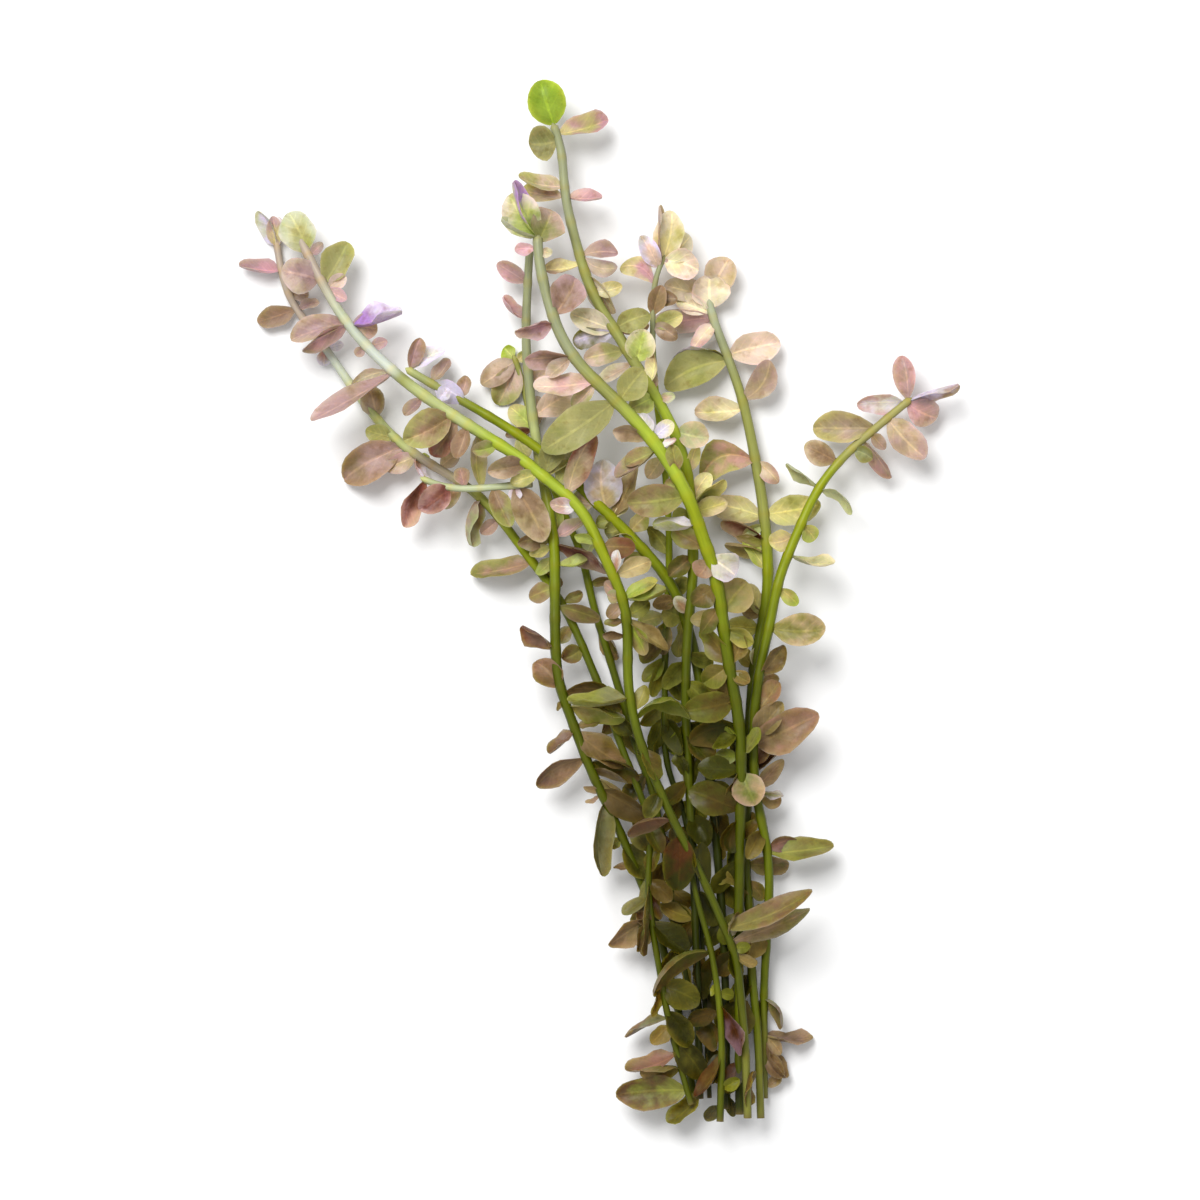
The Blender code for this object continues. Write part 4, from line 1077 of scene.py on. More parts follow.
@dataclass(frozen=True)
class Studio:
    """Pale floor, soft light and the camera straight above the bunch."""

    camera_height: float = 1.608
    focal_length: float = 240.0
    middle: float = 0.00025
    floor_size: float = 6.0
    floor_tone: float = 0.93
    worn_tone: float = 0.8
    wear: float = 0.03
    roughness: float = 0.7
    relief: float = 0.00002
    sky: float = 0.6
    key_place: tuple[float, float, float] = (-0.45, 0.75, 1.3)
    key_power: float = 23.0
    key_size: float = 0.8

    def build(self) -> None:
        """Sets the floor, light and camera."""
        bpy.ops.object.select_all(action="DESELECT")
        bpy.ops.mesh.primitive_plane_add(size=self.floor_size, location=(0.0, 0.0, 0.0))
        floor = bpy.context.object
        floor.name = "floor"
        board = Board("pale_floor")
        grain = board.noise(90.0, 4.0)
        tone = board.mix(grain * self.wear, (self.floor_tone,) * 3, (self.worn_tone,) * 3)
        board.finish(tone, self.roughness, grain, self.relief)
        floor.data.materials.append(board.material)
        self.add_key()
        world = bpy.data.worlds.new("soft_sky")
        world.use_nodes = True
        sky = world.node_tree.nodes["Background"].inputs
        sky["Color"].default_value = (1.0, 1.0, 1.0, 1.0)
        sky["Strength"].default_value = self.sky
        bpy.context.scene.world = world
        bpy.context.scene.view_settings.view_transform = "Standard"
        lens = bpy.data.cameras.new("camera")
        lens.lens = self.focal_length
        camera = bpy.data.objects.new("camera", lens)
        camera.location = (self.middle, self.middle, self.camera_height)
        bpy.context.scene.collection.objects.link(camera)
        bpy.context.scene.camera = camera

    def add_key(self) -> None:
        """Adds the square soft lamp that faces the bunch."""
        light = bpy.data.lights.new("key", "AREA")
        light.size = self.key_size
        light.energy = self.key_power
        lamp = bpy.data.objects.new("key", light)
        lamp.location = self.key_place
        lamp.rotation_euler = (-Vector(self.key_place)).to_track_quat("-Z", "Y").to_euler()
        bpy.context.scene.collection.objects.link(lamp)


# Each row of leaves holds the values of a Leaf in order.
SHOOTS = (
    Shoot("left_shoot", Slot.FRESH, radius=1.2, stem_tones={
        75: "BLUSH", 65: "BLUSH", 57: "MINT", 50: "ICE", 46: "ICE", 44.3: "OLIVE", 42.5: "PALE", 36: "PALE",
        32: "LIME", 22: "LIME", 12: "GREEN", 6: "GREEN", -5: "MOSS", -16: "LEAF", -28: "MOSS", -80: "MOSS",
        -96: "OLIVE",
    }, route=(
        (-61.5, 75), (-60, 72), (-58, 68.5), (-56, 64), (-51, 55.5), (-46, 50), (-40, 44.3), (-36, 41.5),
        (-32, 38.5), (-28, 36), (-24, 33.5), (-20, 31), (-16, 28.5), (-13, 26.5), (-11, 24), (-7, 21.5),
        (-3.5, 18.5), (-2, 15.5), (0, 10.5), (2, 6), (3.5, 3.5), (5, 0), (5.5, -5), (5.7, -10), (5.2, -16),
        (6, -20), (7, -25), (8, -29), (10, -33.5), (12, -38), (14, -43), (16, -46.5), (18.3, -51),
        (20.5, -55.5), (22.7, -60), (24.3, -64.5), (26, -68), (27, -69.5), (27.7, -74), (28.2, -80),
        (29, -88), (29.3, -96), (29.5, -103.5),
    ), heights={
        75: 5.5, 55: 8, 44: 9, 24: 12, 6: 13.5, -10: 13.2, -34: 12.8, -56: 12.2, -70: 11.2, -104: 10,
    }, leaves=(
        (-58.5, 69, -62.5, 77.5, 6.5, "OG"), (-57.5, 69.5, -55.5, 71.5, 2, "KM"),
        (-54.5, 63.5, -50.8, 71.8, 5.5, "OO"), (-54, 63, -50.7, 60, 2.4, "SK"),
        (-56, 64, -63.8, 65.5, 6.5, "MP"), (-51.5, 55.5, -62, 52.5, 4.5, "MT"),
        (-52, 53.5, -59.5, 49.8, 3, "KM"), (-50, 55.5, -44.5, 54.5, 4.8, "PS"),
        (-47.5, 57, -39.5, 58, 2.7, "UV"), (-46, 51, -42.5, 51.8, 2.2, "MK"),
        (-47, 50.5, -48.8, 48.8, 2, "MT"), (-41.5, 44.5, -57.8, 36, 3, "MM"),
        (-42, 46, -49.5, 42.5, 3, "CT"), (-36, 40, -39, 36.8, 2.4, "MT"), (-29, 37, -39.3, 32, 6.6, "BO"),
        (-29, 36, -33, 28.5, 4.5, "BR"), (-14, 27.5, -22.5, 26, 4, "BT"), (-10.5, 25.5, -8, 34, 4.5, "OO"),
        (-9, 26.5, -2.5, 34, 2.4, "YO"), (-4, 24, -1, 33, 4.5, "TR"), (-8.5, 23.5, -5, 28, 4, "OO"),
        (-5.2, 17.5, -10, 19, 3, "WJ"), (-1, 11, -5, 13, 1.8, "LL"), (5.5, 6, 10, 8, 3.6, "PT"),
        (4.5, 5, 3.5, 10, 1.8, "KW"), (6, 1, 0.8, 3.5, 2.4, "KM"), (6, 1, 11.5, 4, 2.6, "LY"),
        (5, -20, -6.5, -20, 2, "GL", -1), (7.2, -22.5, 9, -17, 2.5, "CY"),
        (7.3, -22.7, 18, -23.5, 1.8, "LG", 2.2), (11, -45, 5.5, -47, 2, "KM"),
        (15, -47, 15.5, -58, 5.5, "RD"), (29, -63.5, 42.3, -58, 4, "OB"), (29, -67, 42, -62, 4, "TO"),
        (27, -69, 30, -69.5, 2, "LL"), (28, -67, 27.5, -62.2, 1.2, "VM"),
        (28.5, -70.5, 31.3, -73, 1.8, "PT"), (31, -102, 30.8, -94, 1.2, "BB"), (5, 0, 1.5, -3.5, 2.6, "MB"),
        (5.3, -4, 0.8, -4.6, 1.6, "BO"), (5.5, -7, 0.5, -7, 1.6, "BM"), (5.7, -4, 9, -11, 3, "LT"),
        (8.5, -29, 11.5, -36, 3, "BO"), (12, -38, 9, -43.5, 3, "DO"), (26.5, -69, 27.5, -76, 2.4, "DO"),
        (-20, 31, -25.5, 29.5, 3, "LT"), (-33, 39, -30.5, 42.5, 2.6, "VV"), (0.5, 10.8, 7, 10, 4, "BR"),
        (6, 0.6, 13.2, 2, 2.4, "LO"), (6, -3, 10, -0.6, 3, "OD"), (5.8, 1, 1.4, 0.9, 2.6, "TG"),
        (21.8, -57, 20.3, -48.3, 3.2, "DD"), (5.7, -3.5, 13.5, -10, 2.4, "TB"),
        (-26.5, 34.5, -29, 28.3, 3.2, "BB"), (-12, 25.5, -18, 23.6, 3, "YO"),
        (-55, 62.2, -50.8, 64.8, 2.8, "TP"),
    )),
    Shoot("front_shoot", Slot.PALE, radius=1.35, stem_tones={
        73: "SAGE", 50: "SAGE", 44: "OLIVE", 40: "OLIVE", 34: "LIME", 25: "LIME", 18: "GREEN", 8: "GREEN",
        -2: "LEAF", -16: "MOSS", -70: "MOSS", -82: "LEAF", -100: "DARK",
    }, route=(
        (-12.5, 73), (-12.5, 68), (-11, 62), (-9.3, 56), (-8.3, 53), (-6, 49), (-3.5, 46), (-1, 43.5),
        (2, 41), (3.3, 39.5), (6, 37), (8.5, 34), (12, 30.3), (15, 25), (17.8, 20.8), (19.7, 14.5),
        (21.2, 10), (22.4, 8), (23.5, 3), (24.2, -2), (24.8, -7), (25.6, -12), (26, -14), (27, -20),
        (28, -25), (28.3, -33), (28, -44), (28, -52), (27.8, -58), (27.8, -80), (28, -103),
    ), heights={
        73: 13, 56: 15, 40: 16.5, 30: 15.8, 8: 14.2, -14: 12, -33: 9.6, -58: 7, -104: 6.2,
    }, leaves=(
        (-13, 75, -18.5, 80.5, 7, "LC"), (-14, 78, -17, 83.6, 2.6, "LU"), (-12.5, 71, -9, 77.5, 6.5, "OT"),
        (-14.5, 73.5, -19.6, 76.3, 1.3, "GG"), (-13, 70, -17, 69.8, 2.4, "KK"),
        (-12, 70, -9.7, 68.7, 2, "TC"), (-10.2, 54.5, -17, 53, 2.8, "KJ"), (-9.3, 56.5, -4.5, 64, 6.5, "BM"),
        (-6.5, 47.5, -15, 48, 3.4, "BM"), (-4, 40, -13.3, 42.8, 4, "SP"), (2.5, 39, -11.5, 30, 7, "OO"),
        (4, 40, 9, 45.5, 5.5, "OO"), (8.5, 30.5, 2.5, 33.5, 3, "BT"), (12, 33.5, 8.2, 37.2, 3, "WV"),
        (12.5, 31, 15.2, 32, 1.3, "WK"), (10.5, 29, 5, 27, 3, "OB"), (17.5, 26, 14.5, 31, 3, "BO"),
        (16.5, 20.3, 5.5, 19, 6, "OB"), (16.5, 21.5, 12.8, 23, 2.8, "OB"), (16.3, 14, 10.5, 14.8, 1.6, "VG"),
        (19.5, 9, 14.5, 14, 4, "BO"), (22, 9, 27.3, 5.2, 5.6, "WV"), (22, 8.5, 19.6, 4.6, 4.2, "MK"),
        (25, -2.5, 29.5, 3.5, 6.5, "OT"), (27.5, -13, 28.5, -6.5, 2.6, "MB"), (26, -14, 29.3, -17, 2, "WP"),
        (25, -13, 20.5, -5.5, 3.5, "BO"), (29, -34, 31, -41, 5.6, "GJ"), (26, -33, 26.8, -42, 2.6, "TM"),
        (27, -42, 18, -37.5, 5.5, "BO"), (28.8, -28, 25, -25.3, 1, "GL"), (28.3, -31, 23, -31.3, 2.6, "LG"),
        (29.5, -31, 31.8, -25.5, 2.2, "GL"), (29, -27, 28.5, -23.5, 0.9, "GL"),
        (27, -57, 23, -56.5, 2, "TC", -1), (27, -20.5, 16.5, -22.5, 5, "BO"),
        (26.5, -25, 18, -28.5, 4.4, "DB"), (27.3, -34, 19.5, -33, 3.8, "DD"),
        (27.5, -43, 26, -50.5, 3, "BD"), (27.5, -62, 24.5, -69, 3, "OL"), (28, -79, 29.5, -87, 2.4, "BO"),
        (26.5, -15, 24.5, -21, 3, "MB"), (23.5, 3, 18.5, -1, 4, "BD"), (25, -5.5, 30.5, -8.8, 3, "OY"),
        (28, -52, 22.5, -58.5, 3.4, "DO"), (28, -92, 25, -98.5, 3.2, "RD"), (10, 32, 14.5, 35.5, 3, "VC"),
        (-1, 43.5, -5.5, 38.5, 3, "TO"), (24, -1, 20, -6.5, 3, "BD"), (28, -70, 23, -75, 3.4, "DB"),
        (28, -80, 23.5, -86, 3.4, "DO"), (-6.2, 48.2, -10.5, 44.2, 3, "TP"),
        (25.3, -13, 20.8, -16.8, 4, "TO"), (26.2, -14, 29.8, -16.5, 2.4, "TS"),
        (27.8, -43.5, 24.6, -50, 3, "BB"), (27.6, -26, 22.6, -29.8, 2.2, "DO"), (24, -4, 18, -3.5, 3, "TT"),
        (10.5, 29.5, 3, 24.5, 3, "OM"),
    )),
    Shoot("far_right_shoot", Slot.PALE, radius=1.05, stem_tones={
        41: "STRAW", 31: "STRAW", 25: "GREEN", 12: "GREEN", -5: "LEAF", -16: "MOSS", -50: "LEAF",
        -80: "LEAF", -92: "OLIVE", -104: "OLIVE",
    }, route=(
        (62.5, 40.5), (60, 38.5), (57.5, 36.3), (55.5, 34.8), (53, 32.5), (50.5, 30.5), (47.3, 27.5),
        (44.5, 23.5), (43, 22), (42, 19.5), (40.7, 16), (38.5, 11.5), (37.3, 8.5), (36.3, 6), (35.2, 3),
        (34.6, -1), (33.9, -6), (32.8, -9), (32, -13), (31.4, -17), (30.9, -21), (30.5, -30), (31.3, -41),
        (32.7, -45), (33.6, -50), (34, -55), (33.9, -60), (33.5, -67), (33.1, -73), (32.8, -79), (33, -100),
    ), heights={
        41: 5, 27: 8, 11: 9.5, -6: 9.8, -21: 9.4, -30: 7, -45: 6.6, -60: 6.2, -75: 4, -82: 3, -100: 2.4,
    }, leaves=(
        (62.3, 40.8, 60.7, 49, 4, "MK"), (63.5, 40.8, 72, 43, 1.4, "VM"), (62.5, 38.5, 67.3, 36, 5.5, "KM"),
        (58.5, 35.5, 65, 28.3, 5.5, "TM"), (61, 40, 51.5, 39, 3.6, "WK"), (55.5, 34, 42.7, 35, 5.8, "TY"),
        (54.5, 33, 57.2, 30.3, 2.4, "BM"), (53, 31.5, 58.5, 24.5, 2.2, "PK"),
        (50.5, 30, 54.5, 28.2, 3, "GO"), (47, 28, 40.7, 30.5, 4.4, "BT"), (42.5, 23, 37.2, 27.2, 1.1, "GG"),
        (44, 22, 50.4, 17.3, 1.6, "GG", 1.2), (40.5, 15, 43, 12, 3.4, "YL"), (38, 13.5, 34, 11, 4, "TY"),
        (38, 8.5, 47, 7.8, 1.4, "GC"), (36, 2.5, 39.5, -1, 2.6, "YL"), (35, -6, 45, -6.3, 6, "OP"),
        (33.5, -15.5, 37, -9.2, 3.2, "TB"), (30.5, -23, 36, -16.5, 3.5, "TK"), (33, -29, 44, -23.7, 7, "TS"),
        (31, -33.5, 33.5, -29, 2.5, "RM"), (33, -37.5, 36.8, -32, 3, "MT"),
        (34, -38, 36.7, -39.3, 1.5, "GV"), (31, -40, 36.3, -40.5, 2.8, "PS"), (31, -46, 29, -51.5, 3, "BT"),
        (34, -49.5, 39.5, -48, 2.8, "KM"), (34, -50.5, 46.8, -49, 4, "LO"),
        (33, -79.5, 36.3, -86, 1.1, "GM", 1.2), (33.3, -87.5, 42.8, -87.8, 2, "MT"),
        (32.5, -90.5, 36.5, -96, 3, "TB"), (36, -88, 37.3, -96, 1.4, "TB"), (33, -98, 36.5, -95.5, 2, "TT"),
        (31, -27, 36.5, -20.5, 4.4, "TP"), (33, -60.5, 29.5, -66, 3, "TO"), (33, -79, 32, -87, 2, "TB"),
        (33, -87, 36.5, -91, 2.4, "PT"), (33.8, -64, 29.5, -72, 2.6, "PT"),
        (31.3, -44, 27.5, -48, 2.4, "BO"),
    )),
    Shoot("crown_shoot", Slot.FRESH, radius=1.15, stem_tones={
        96: "SAGE", 78: "SAGE", 66: "OLIVE", 46: "OLIVE", 38: "LIME", 32: "LIME", 24: "GREEN", 12: "GREEN",
        0: "MOSS", -38: "MOSS", -50: "DARK", -100: "DARK",
    }, route=(
        (-9.5, 95.5), (-8, 93), (-7.3, 88), (-7.3, 81.5), (-5.5, 74), (-3.7, 67.5), (-2, 62), (0.5, 57),
        (3.3, 54), (5, 50.5), (6.8, 47.3), (9, 44), (11, 41), (13.5, 36.5), (15.5, 32.5), (17, 28), (18, 23),
        (18.7, 9), (18.7, 4), (18.2, 0), (17.5, -6), (17.2, -14), (17, -20), (18, -40), (19, -60),
        (19.3, -69), (20, -100),
    ), heights={
        96: 7, 60: 10, 41: 12, 32: 9.5, 23: 8.6, 4: 7.6, -14: 7.2, -60: 5, -100: 4.2,
    }, leaves=(
        (-9.5, 95.5, -12, 104, 7, "FF"), (-8.3, 92, -14.2, 91, 6.5, "OO"), (-7.5, 93.5, 1.8, 96, 4, "YK"),
        (-8.3, 82.5, -16.3, 85, 3, "TO"), (-6.3, 80.6, 0.5, 80.6, 2.4, "SK"),
        (-5, 66.7, -11.5, 66, 2.6, "YB"), (-4, 68.8, 3.6, 69.5, 3.2, "TM", 1),
        (-2.5, 66, 3.3, 57.5, 3.5, "CP"), (3, 54, -6, 57, 4.5, "CC"), (3.8, 54.7, 10, 57, 4.5, "OO"),
        (4, 54, 9.8, 55, 2.5, "RB"), (8, 47.5, 9, 54, 5.5, "LC"), (3, 48.5, -3.3, 48.5, 4, "OT"),
        (5.5, 46.5, -0.5, 43.8, 2.5, "TC"), (10.5, 43.5, 10.8, 49, 2.4, "CT"),
        (12.2, 42, 10.4, 45.2, 2, "RM"), (12.5, 41, 15, 40.5, 2, "MG"), (15.5, 34, 21.8, 32.5, 5, "GP"),
        (20, -71, 21, -80, 3, "BD"), (18.5, 9, 13.5, 5, 3.5, "BD"), (18.3, 19.5, 21.8, 25.5, 3.4, "TC"),
        (17.2, -16, 22.5, -21, 3.4, "OD"), (18, -26, 22.5, -33, 3.6, "DB"), (18, -36, 13, -41, 3, "BO"),
        (18.5, -43, 22, -49, 4, "DD"), (19, -58, 23.8, -65, 3.6, "DO"), (19.3, -64, 15, -71, 3.4, "BD"),
        (19.5, -82, 23.5, -90, 3.2, "DB"), (3.5, 53.5, -5.5, 52, 3.8, "VD"),
        (-1.5, 61.5, 4.5, 62.5, 3, "CY"), (17.5, -12, 12.5, -17.5, 3, "DO"), (19, -50, 14, -46, 3, "OB"),
        (11, 40.5, 6, 37.8, 4.2, "LO"), (17.4, 25, 19.4, 31, 2.4, "TY"), (18.2, 18, 14.5, 15.8, 3.4, "OO"),
        (18.6, 18.5, 24.8, 24.2, 2.4, "OY"), (18, -38, 19.3, -31, 2.4, "DO"),
        (20.5, -99, 13.3, -104.5, 3, "OG"), (18.5, -3, 15.2, 0.8, 2.6, "KW"), (18.5, -64, 12, -61, 3, "PM"),
        (18.6, 17.5, 25.3, 20, 3.6, "YP"), (-7.3, 80.5, -15.5, 82.3, 3.6, "TY"),
        (18, -36, 15.6, -30.5, 2, "DO"), (-4.2, 68.3, 3.4, 66.2, 3, "PM", -1),
        (17.3, -10.5, 22.6, -13, 2.8, "DO"),
    )),
    Shoot("far_left_shoot", Slot.RUSSET, radius=0.95, stem_tones={
        74: "BLUSH", 56: "BLUSH", 48: "ICE", 38: "PALE", 31: "PALE", 28: "BLUSH", 25.5: "BLUSH", 22: "OLIVE",
        12: "GREEN", 3: "LEAF", -5: "MOSS", -100: "MOSS",
    }, route=(
        (-65.3, 74), (-64.5, 70), (-64.3, 66), (-63.5, 63), (-61.5, 58.8), (-59, 55.5), (-56, 52),
        (-53, 47.5), (-50, 43), (-47, 39), (-44.8, 36.5), (-42.5, 33.5), (-40, 31), (-36, 28.5), (-32, 26),
        (-27.5, 23.5), (-24, 21), (-20, 16.5), (-14, 8), (-10.5, 4), (-8, 0), (-5.3, -5), (-3.3, -9.5),
        (-1.4, -14.5), (0.3, -18), (3, -26), (6, -34), (9, -41), (10.3, -45), (10, -50), (9.5, -55),
        (9.7, -60), (10.5, -66), (11.5, -72), (12.5, -77), (13.3, -83), (14.8, -88), (16, -93), (17.3, -98),
        (18.3, -101),
    ), heights={
        74: 1.2, 50: 2.4, 31: 4, 16: 5, 0: 5, -18: 6.2, -45: 7.2, -66: 7.2, -101: 6.7,
    }, leaves=(
        (-65.5, 71, -69, 78, 2.6, "VG"), (-65, 70.5, -66, 77, 3, "YM"), (-64, 70.5, -64.5, 77, 2, "VW"),
        (-64.5, 66, -72.5, 67.5, 2.6, "KM"), (-63.5, 66, -58, 67.5, 3, "PP"),
        (-61.5, 58, -68.7, 55.5, 4, "BB"), (-60.5, 59, -56.3, 59.8, 2, "MT"),
        (-55.5, 50.5, -55.5, 47, 2.6, "KV"), (-54, 51, -51.5, 51.5, 2, "VW"),
        (-44.5, 36.5, -46.5, 43, 4.5, "TB"), (-40, 30.5, -51.8, 25, 7, "MB"), (-41, 32, -47, 34, 3.5, "OO"),
        (-37, 30, -34.5, 24, 1, "KW"), (-20, 16.5, -23.8, 13.2, 2.6, "MM"),
        (-24.5, 20.5, -25.3, 10.6, 1.3, "MG"), (-14, 7.5, -26, 5, 3.6, "SO"),
        (-3, -9.5, -7.5, -12, 3.5, "OB"), (6.5, -55.5, 8.8, -71.3, 2.2, "GM"), (7, -63.5, 2, -69.5, 4, "PT"),
        (10, -65, 7.3, -62.5, 2.4, "KM"), (12, -64, 18, -70, 4, "DD"), (12.5, -77, 20, -80.5, 5, "OO"),
        (12.3, -77.5, 10.7, -83.5, 1.4, "BT"), (12, -84, 5, -87.5, 1.3, "GM", -1.6),
        (14, -85, 10.5, -89, 3, "PT"), (15, -91, 5, -94, 3, "KT"), (17, -98.3, 3.2, -99.2, 6, "LB"),
        (-5.5, -5, -8.5, -8.5, 2.6, "BO"), (9.5, -63.5, 7.5, -70.5, 2.6, "SP"),
        (9.5, -56, 14.5, -60, 3.2, "BM"), (14, -82, 18.5, -89, 4, "DO"), (15.5, -88, 21, -95.5, 4.4, "OD"),
        (10.5, -44.5, 12.5, -50.5, 2.8, "OB"), (-62.5, 61.5, -58.5, 61.5, 3, "TP"),
        (-32.5, 26.5, -28.5, 29.5, 3, "TM"), (-28, 23.7, -31.5, 18.5, 3.2, "KT"),
        (-12, 5.5, -7.5, 3, 2.6, "OB"), (1.5, -22, 6.5, -27, 3, "OD"), (10, -55, 11.3, -49.5, 2.4, "BO"),
        (10, -58.5, 12, -64, 1.8, "RB"), (16, -94, 8, -94.4, 1.8, "OT"), (-33.5, 27, -36, 29, 2, "YL"),
        (-36.5, 28.8, -43, 26, 3.6, "PK"), (10, -50.5, 6.5, -46, 2.9, "DO"),
        (-7.8, -0.6, -3.4, 1.2, 2.2, "OB"), (9.5, -59.5, 4.6, -63, 2.2, "OG"),
    )),
    Shoot("mid_left_shoot", Slot.OLIVE, radius=1.1, stem_tones={
        46: "PALE", 42: "OLIVE", 38: "LEAF", 32: "GREEN", 16: "GREEN", 5: "LEAF", -6: "MOSS", -20: "MOSS",
        -40: "DARK", -100: "DARK",
    }, route=(
        (-39, 46.5), (-37, 45), (-34, 43.5), (-30, 41.2), (-27, 39.6), (-19, 34.9), (-12, 30.2), (-6, 25),
        (-1, 19.5), (2, 17), (5.5, 13.5), (9, 9.7), (12, 6.5), (14.5, 3.5), (15.7, 0.5), (17.5, -5),
        (19.5, -12), (21.5, -30), (23.5, -50), (25, -70), (25.5, -102),
    ), heights={
        46: 5, 34: 7, 20: 8, 6: 7.2, 0: 5.2, -5: 4.2, -30: 4.4, -102: 4.6,
    }, leaves=(
        (-40, 46.5, -31, 50, 3.2, "WV", 1), (-39, 47, -36, 52.5, 3, "MB"),
        (-33, 44.5, -30.5, 48.5, 2.5, "TM"), (-34, 42.5, -27.2, 40.2, 4, "VV"),
        (-28, 41, -26.5, 44.8, 2.6, "MB"), (17, -4, 12.5, -2, 4.5, "OY"), (14, -0.5, 10.5, -1, 2.6, "BB"),
        (21.5, -47, 24.3, -52.3, 2, "MT"), (20.5, -24, 14.5, -31, 4.4, "DL"),
        (22.5, -42, 23.3, -47, 1.6, "WT"), (24.8, -69, 21.5, -76.5, 3, "BD"),
        (25.3, -90, 21.5, -97, 3, "DD"), (-17, 33, -14.5, 28.5, 3, "OY"), (9, 9.7, 5, 6.5, 3, "OB"),
        (22.2, -36, 26.5, -41, 3.4, "DB"), (24, -56, 28.5, -62, 3, "DO"), (5, 14.5, 1, 13.2, 3.6, "OD"),
        (5.5, 13.5, 9.5, 17, 3.4, "TO"), (16.8, -3, 15.3, -11.5, 2.2, "YO"), (1.5, 17.5, 0, 28, 7, "TV"),
        (-0.5, 19, -5.5, 20.5, 4, "TG"), (8.3, 9.5, 1.5, 12, 1.6, "TC", -2.8), (3, 17, 7.8, 26.5, 3.5, "BT"),
        (21, -20, 23, -13, 3, "TB"), (2.6, 17, 5.8, 18.7, 1.5, "CC"), (3.2, 16.3, -0.8, 15.2, 2.6, "OD"),
        (22.5, -41.5, 25.6, -47.5, 3, "DB"), (25.3, -99, 26.6, -103.6, 1.8, "NN"),
        (24.8, -64.5, 21.6, -69.6, 2.8, "DD"),
    )),
    Shoot("inner_left_shoot", Slot.FRESH, radius=1.1, stem_tones={
        71: "SAGE", 44: "SAGE", 34: "PALE", 26: "OLIVE", 16: "GREEN", 6: "LEAF", -4: "MOSS", -100: "MOSS",
    }, route=(
        (-14, 71), (-14.3, 68), (-14.5, 63), (-14.8, 57), (-15, 52), (-13.5, 36), (-11, 22), (-9, 12),
        (-9, 0), (-9, -10), (-8.3, -17.8), (-7, -20.5), (-5, -25.5), (-2.9, -32), (-1, -35.5), (0.5, -39.5),
        (3, -44), (4.7, -48), (6.8, -53), (7.5, -55), (10.5, -62), (14, -75), (17, -88), (19, -101),
    ), heights={
        71: 6, 52: 4.4, 24: 4.4, 10: 8.2, -10: 9, -35: 8.6, -48: 5.5, -55: 4, -62: 3, -75: 1.6, -101: 1.1,
    }, leaves=(
        (-13, 63.5, -20.7, 67.3, 3.4, "MK"), (-14.8, 56, -19.3, 61, 2, "MK"),
        (-8.6, 12.5, -3.2, 15.8, 2.6, "JC"), (-6, 11.5, 1.3, 5.3, 2.6, "RM"),
        (-10, 2.5, -14.3, 0.8, 3.6, "OB"), (-8, -1, 0, -4, 3, "OB"), (-10, -10, -16, -5.5, 2.4, "MR"),
        (-9.2, -18, -12.5, -12, 5, "BM"), (-8, -19.5, -8.5, -22.2, 1, "BB"),
        (-7.5, -18.3, 4.3, -21.5, 4, "BD", 1.8), (-1.5, -25, 5.5, -33.5, 4.5, "MB"),
        (-6.3, -26.5, -10.5, -30.5, 2, "MB"), (-4, -32, -12.5, -37.5, 4, "TM"),
        (-1.5, -32, 8, -35.5, 3, "OB"), (-0.5, -39, -3.3, -37.3, 1.4, "TT"),
        (0, -39.5, -3, -40.5, 0.9, "MT"), (0, -40.5, 0.2, -55.2, 3.6, "GO"),
        (2.5, -36.5, 9.5, -44, 4.2, "MB"), (4, -47.5, 1.8, -49.5, 2.2, "LO"),
        (8, -53, 2.7, -53.8, 1.2, "TM"), (6.5, -47.5, 9, -56, 4, "DO"), (-6.5, -21, 5, -24, 2.6, "CL"),
        (-9.5, 12.5, -16.5, 11.5, 3.2, "OB"), (-9.3, 9, -12.8, 5.2, 2.4, "OL"), (-8.8, 7, -2.5, 8, 2, "LO"),
        (-2, -36, 4.5, -39, 1.6, "CT"), (-4.8, -25, 0, -24.3, 1.4, "TO"),
        (-1.5, -33.5, 5.5, -36.6, 1.6, "BT"), (-13, 36.5, -5.5, 41.5, 5, "TP"),
        (-9, 11, -14, 8.8, 2.2, "OY"),
    )),
    Shoot("inner_right_shoot", Slot.PALE, radius=0.7, stem_tones={
        69: "SAGE", 54: "SAGE", 47: "OLIVE", 40: "LIME", 18: "GREEN", 2: "LEAF", -14: "MOSS", -36: "DARK",
        -100: "DARK",
    }, route=(
        (13, 69), (10.8, 66), (10.6, 60), (10.4, 56), (10.8, 45), (12, 34), (13.5, 22), (14, 10), (13.5, 0),
        (13, -12), (13, -24), (12.7, -30), (14, -36), (17, -42), (20, -60), (22, -100),
    ), heights={
        69: 7.5, 45: 7.5, 34: 6, 22: 5, 6: 4.2, -12: 3.4, -42: 3, -60: 2.2, -100: 1.6,
    }, leaves=(
        (13, 69, 15, 77.7, 5.5, "YC"), (12, 74, 12, 79, 1.8, "MT"), (15, 66, 18, 73, 5.5, "CC"),
        (11, 66.5, 9, 70.3, 3, "TP"), (12.5, 66, 13, 69.5, 2, "PS"), (11, 63.5, 4, 66.5, 4, "KY", -1.5),
        (13, 56.5, 12, 63, 3.4, "BB"), (12.7, -21, 10, -30, 3, "OD"), (13.4, -3, 7.5, -4.5, 3, "CL"),
        (13.3, -4, 12.5, -11, 3, "DM"), (14, 9, 9.5, 14.5, 3, "OD"), (13, 29, 9.4, 24.4, 3.4, "PT"),
        (13, -14, 17, -20, 3.2, "DO"), (13, -24, 17, -31, 3.2, "DD"), (17.5, -45, 13.5, -52, 3.4, "BR"),
        (21, -78, 25.5, -85, 3.4, "DB"), (11, 60, 15.5, 60.5, 3, "TB"), (10.8, 55, 15.5, 52.3, 3, "TB"),
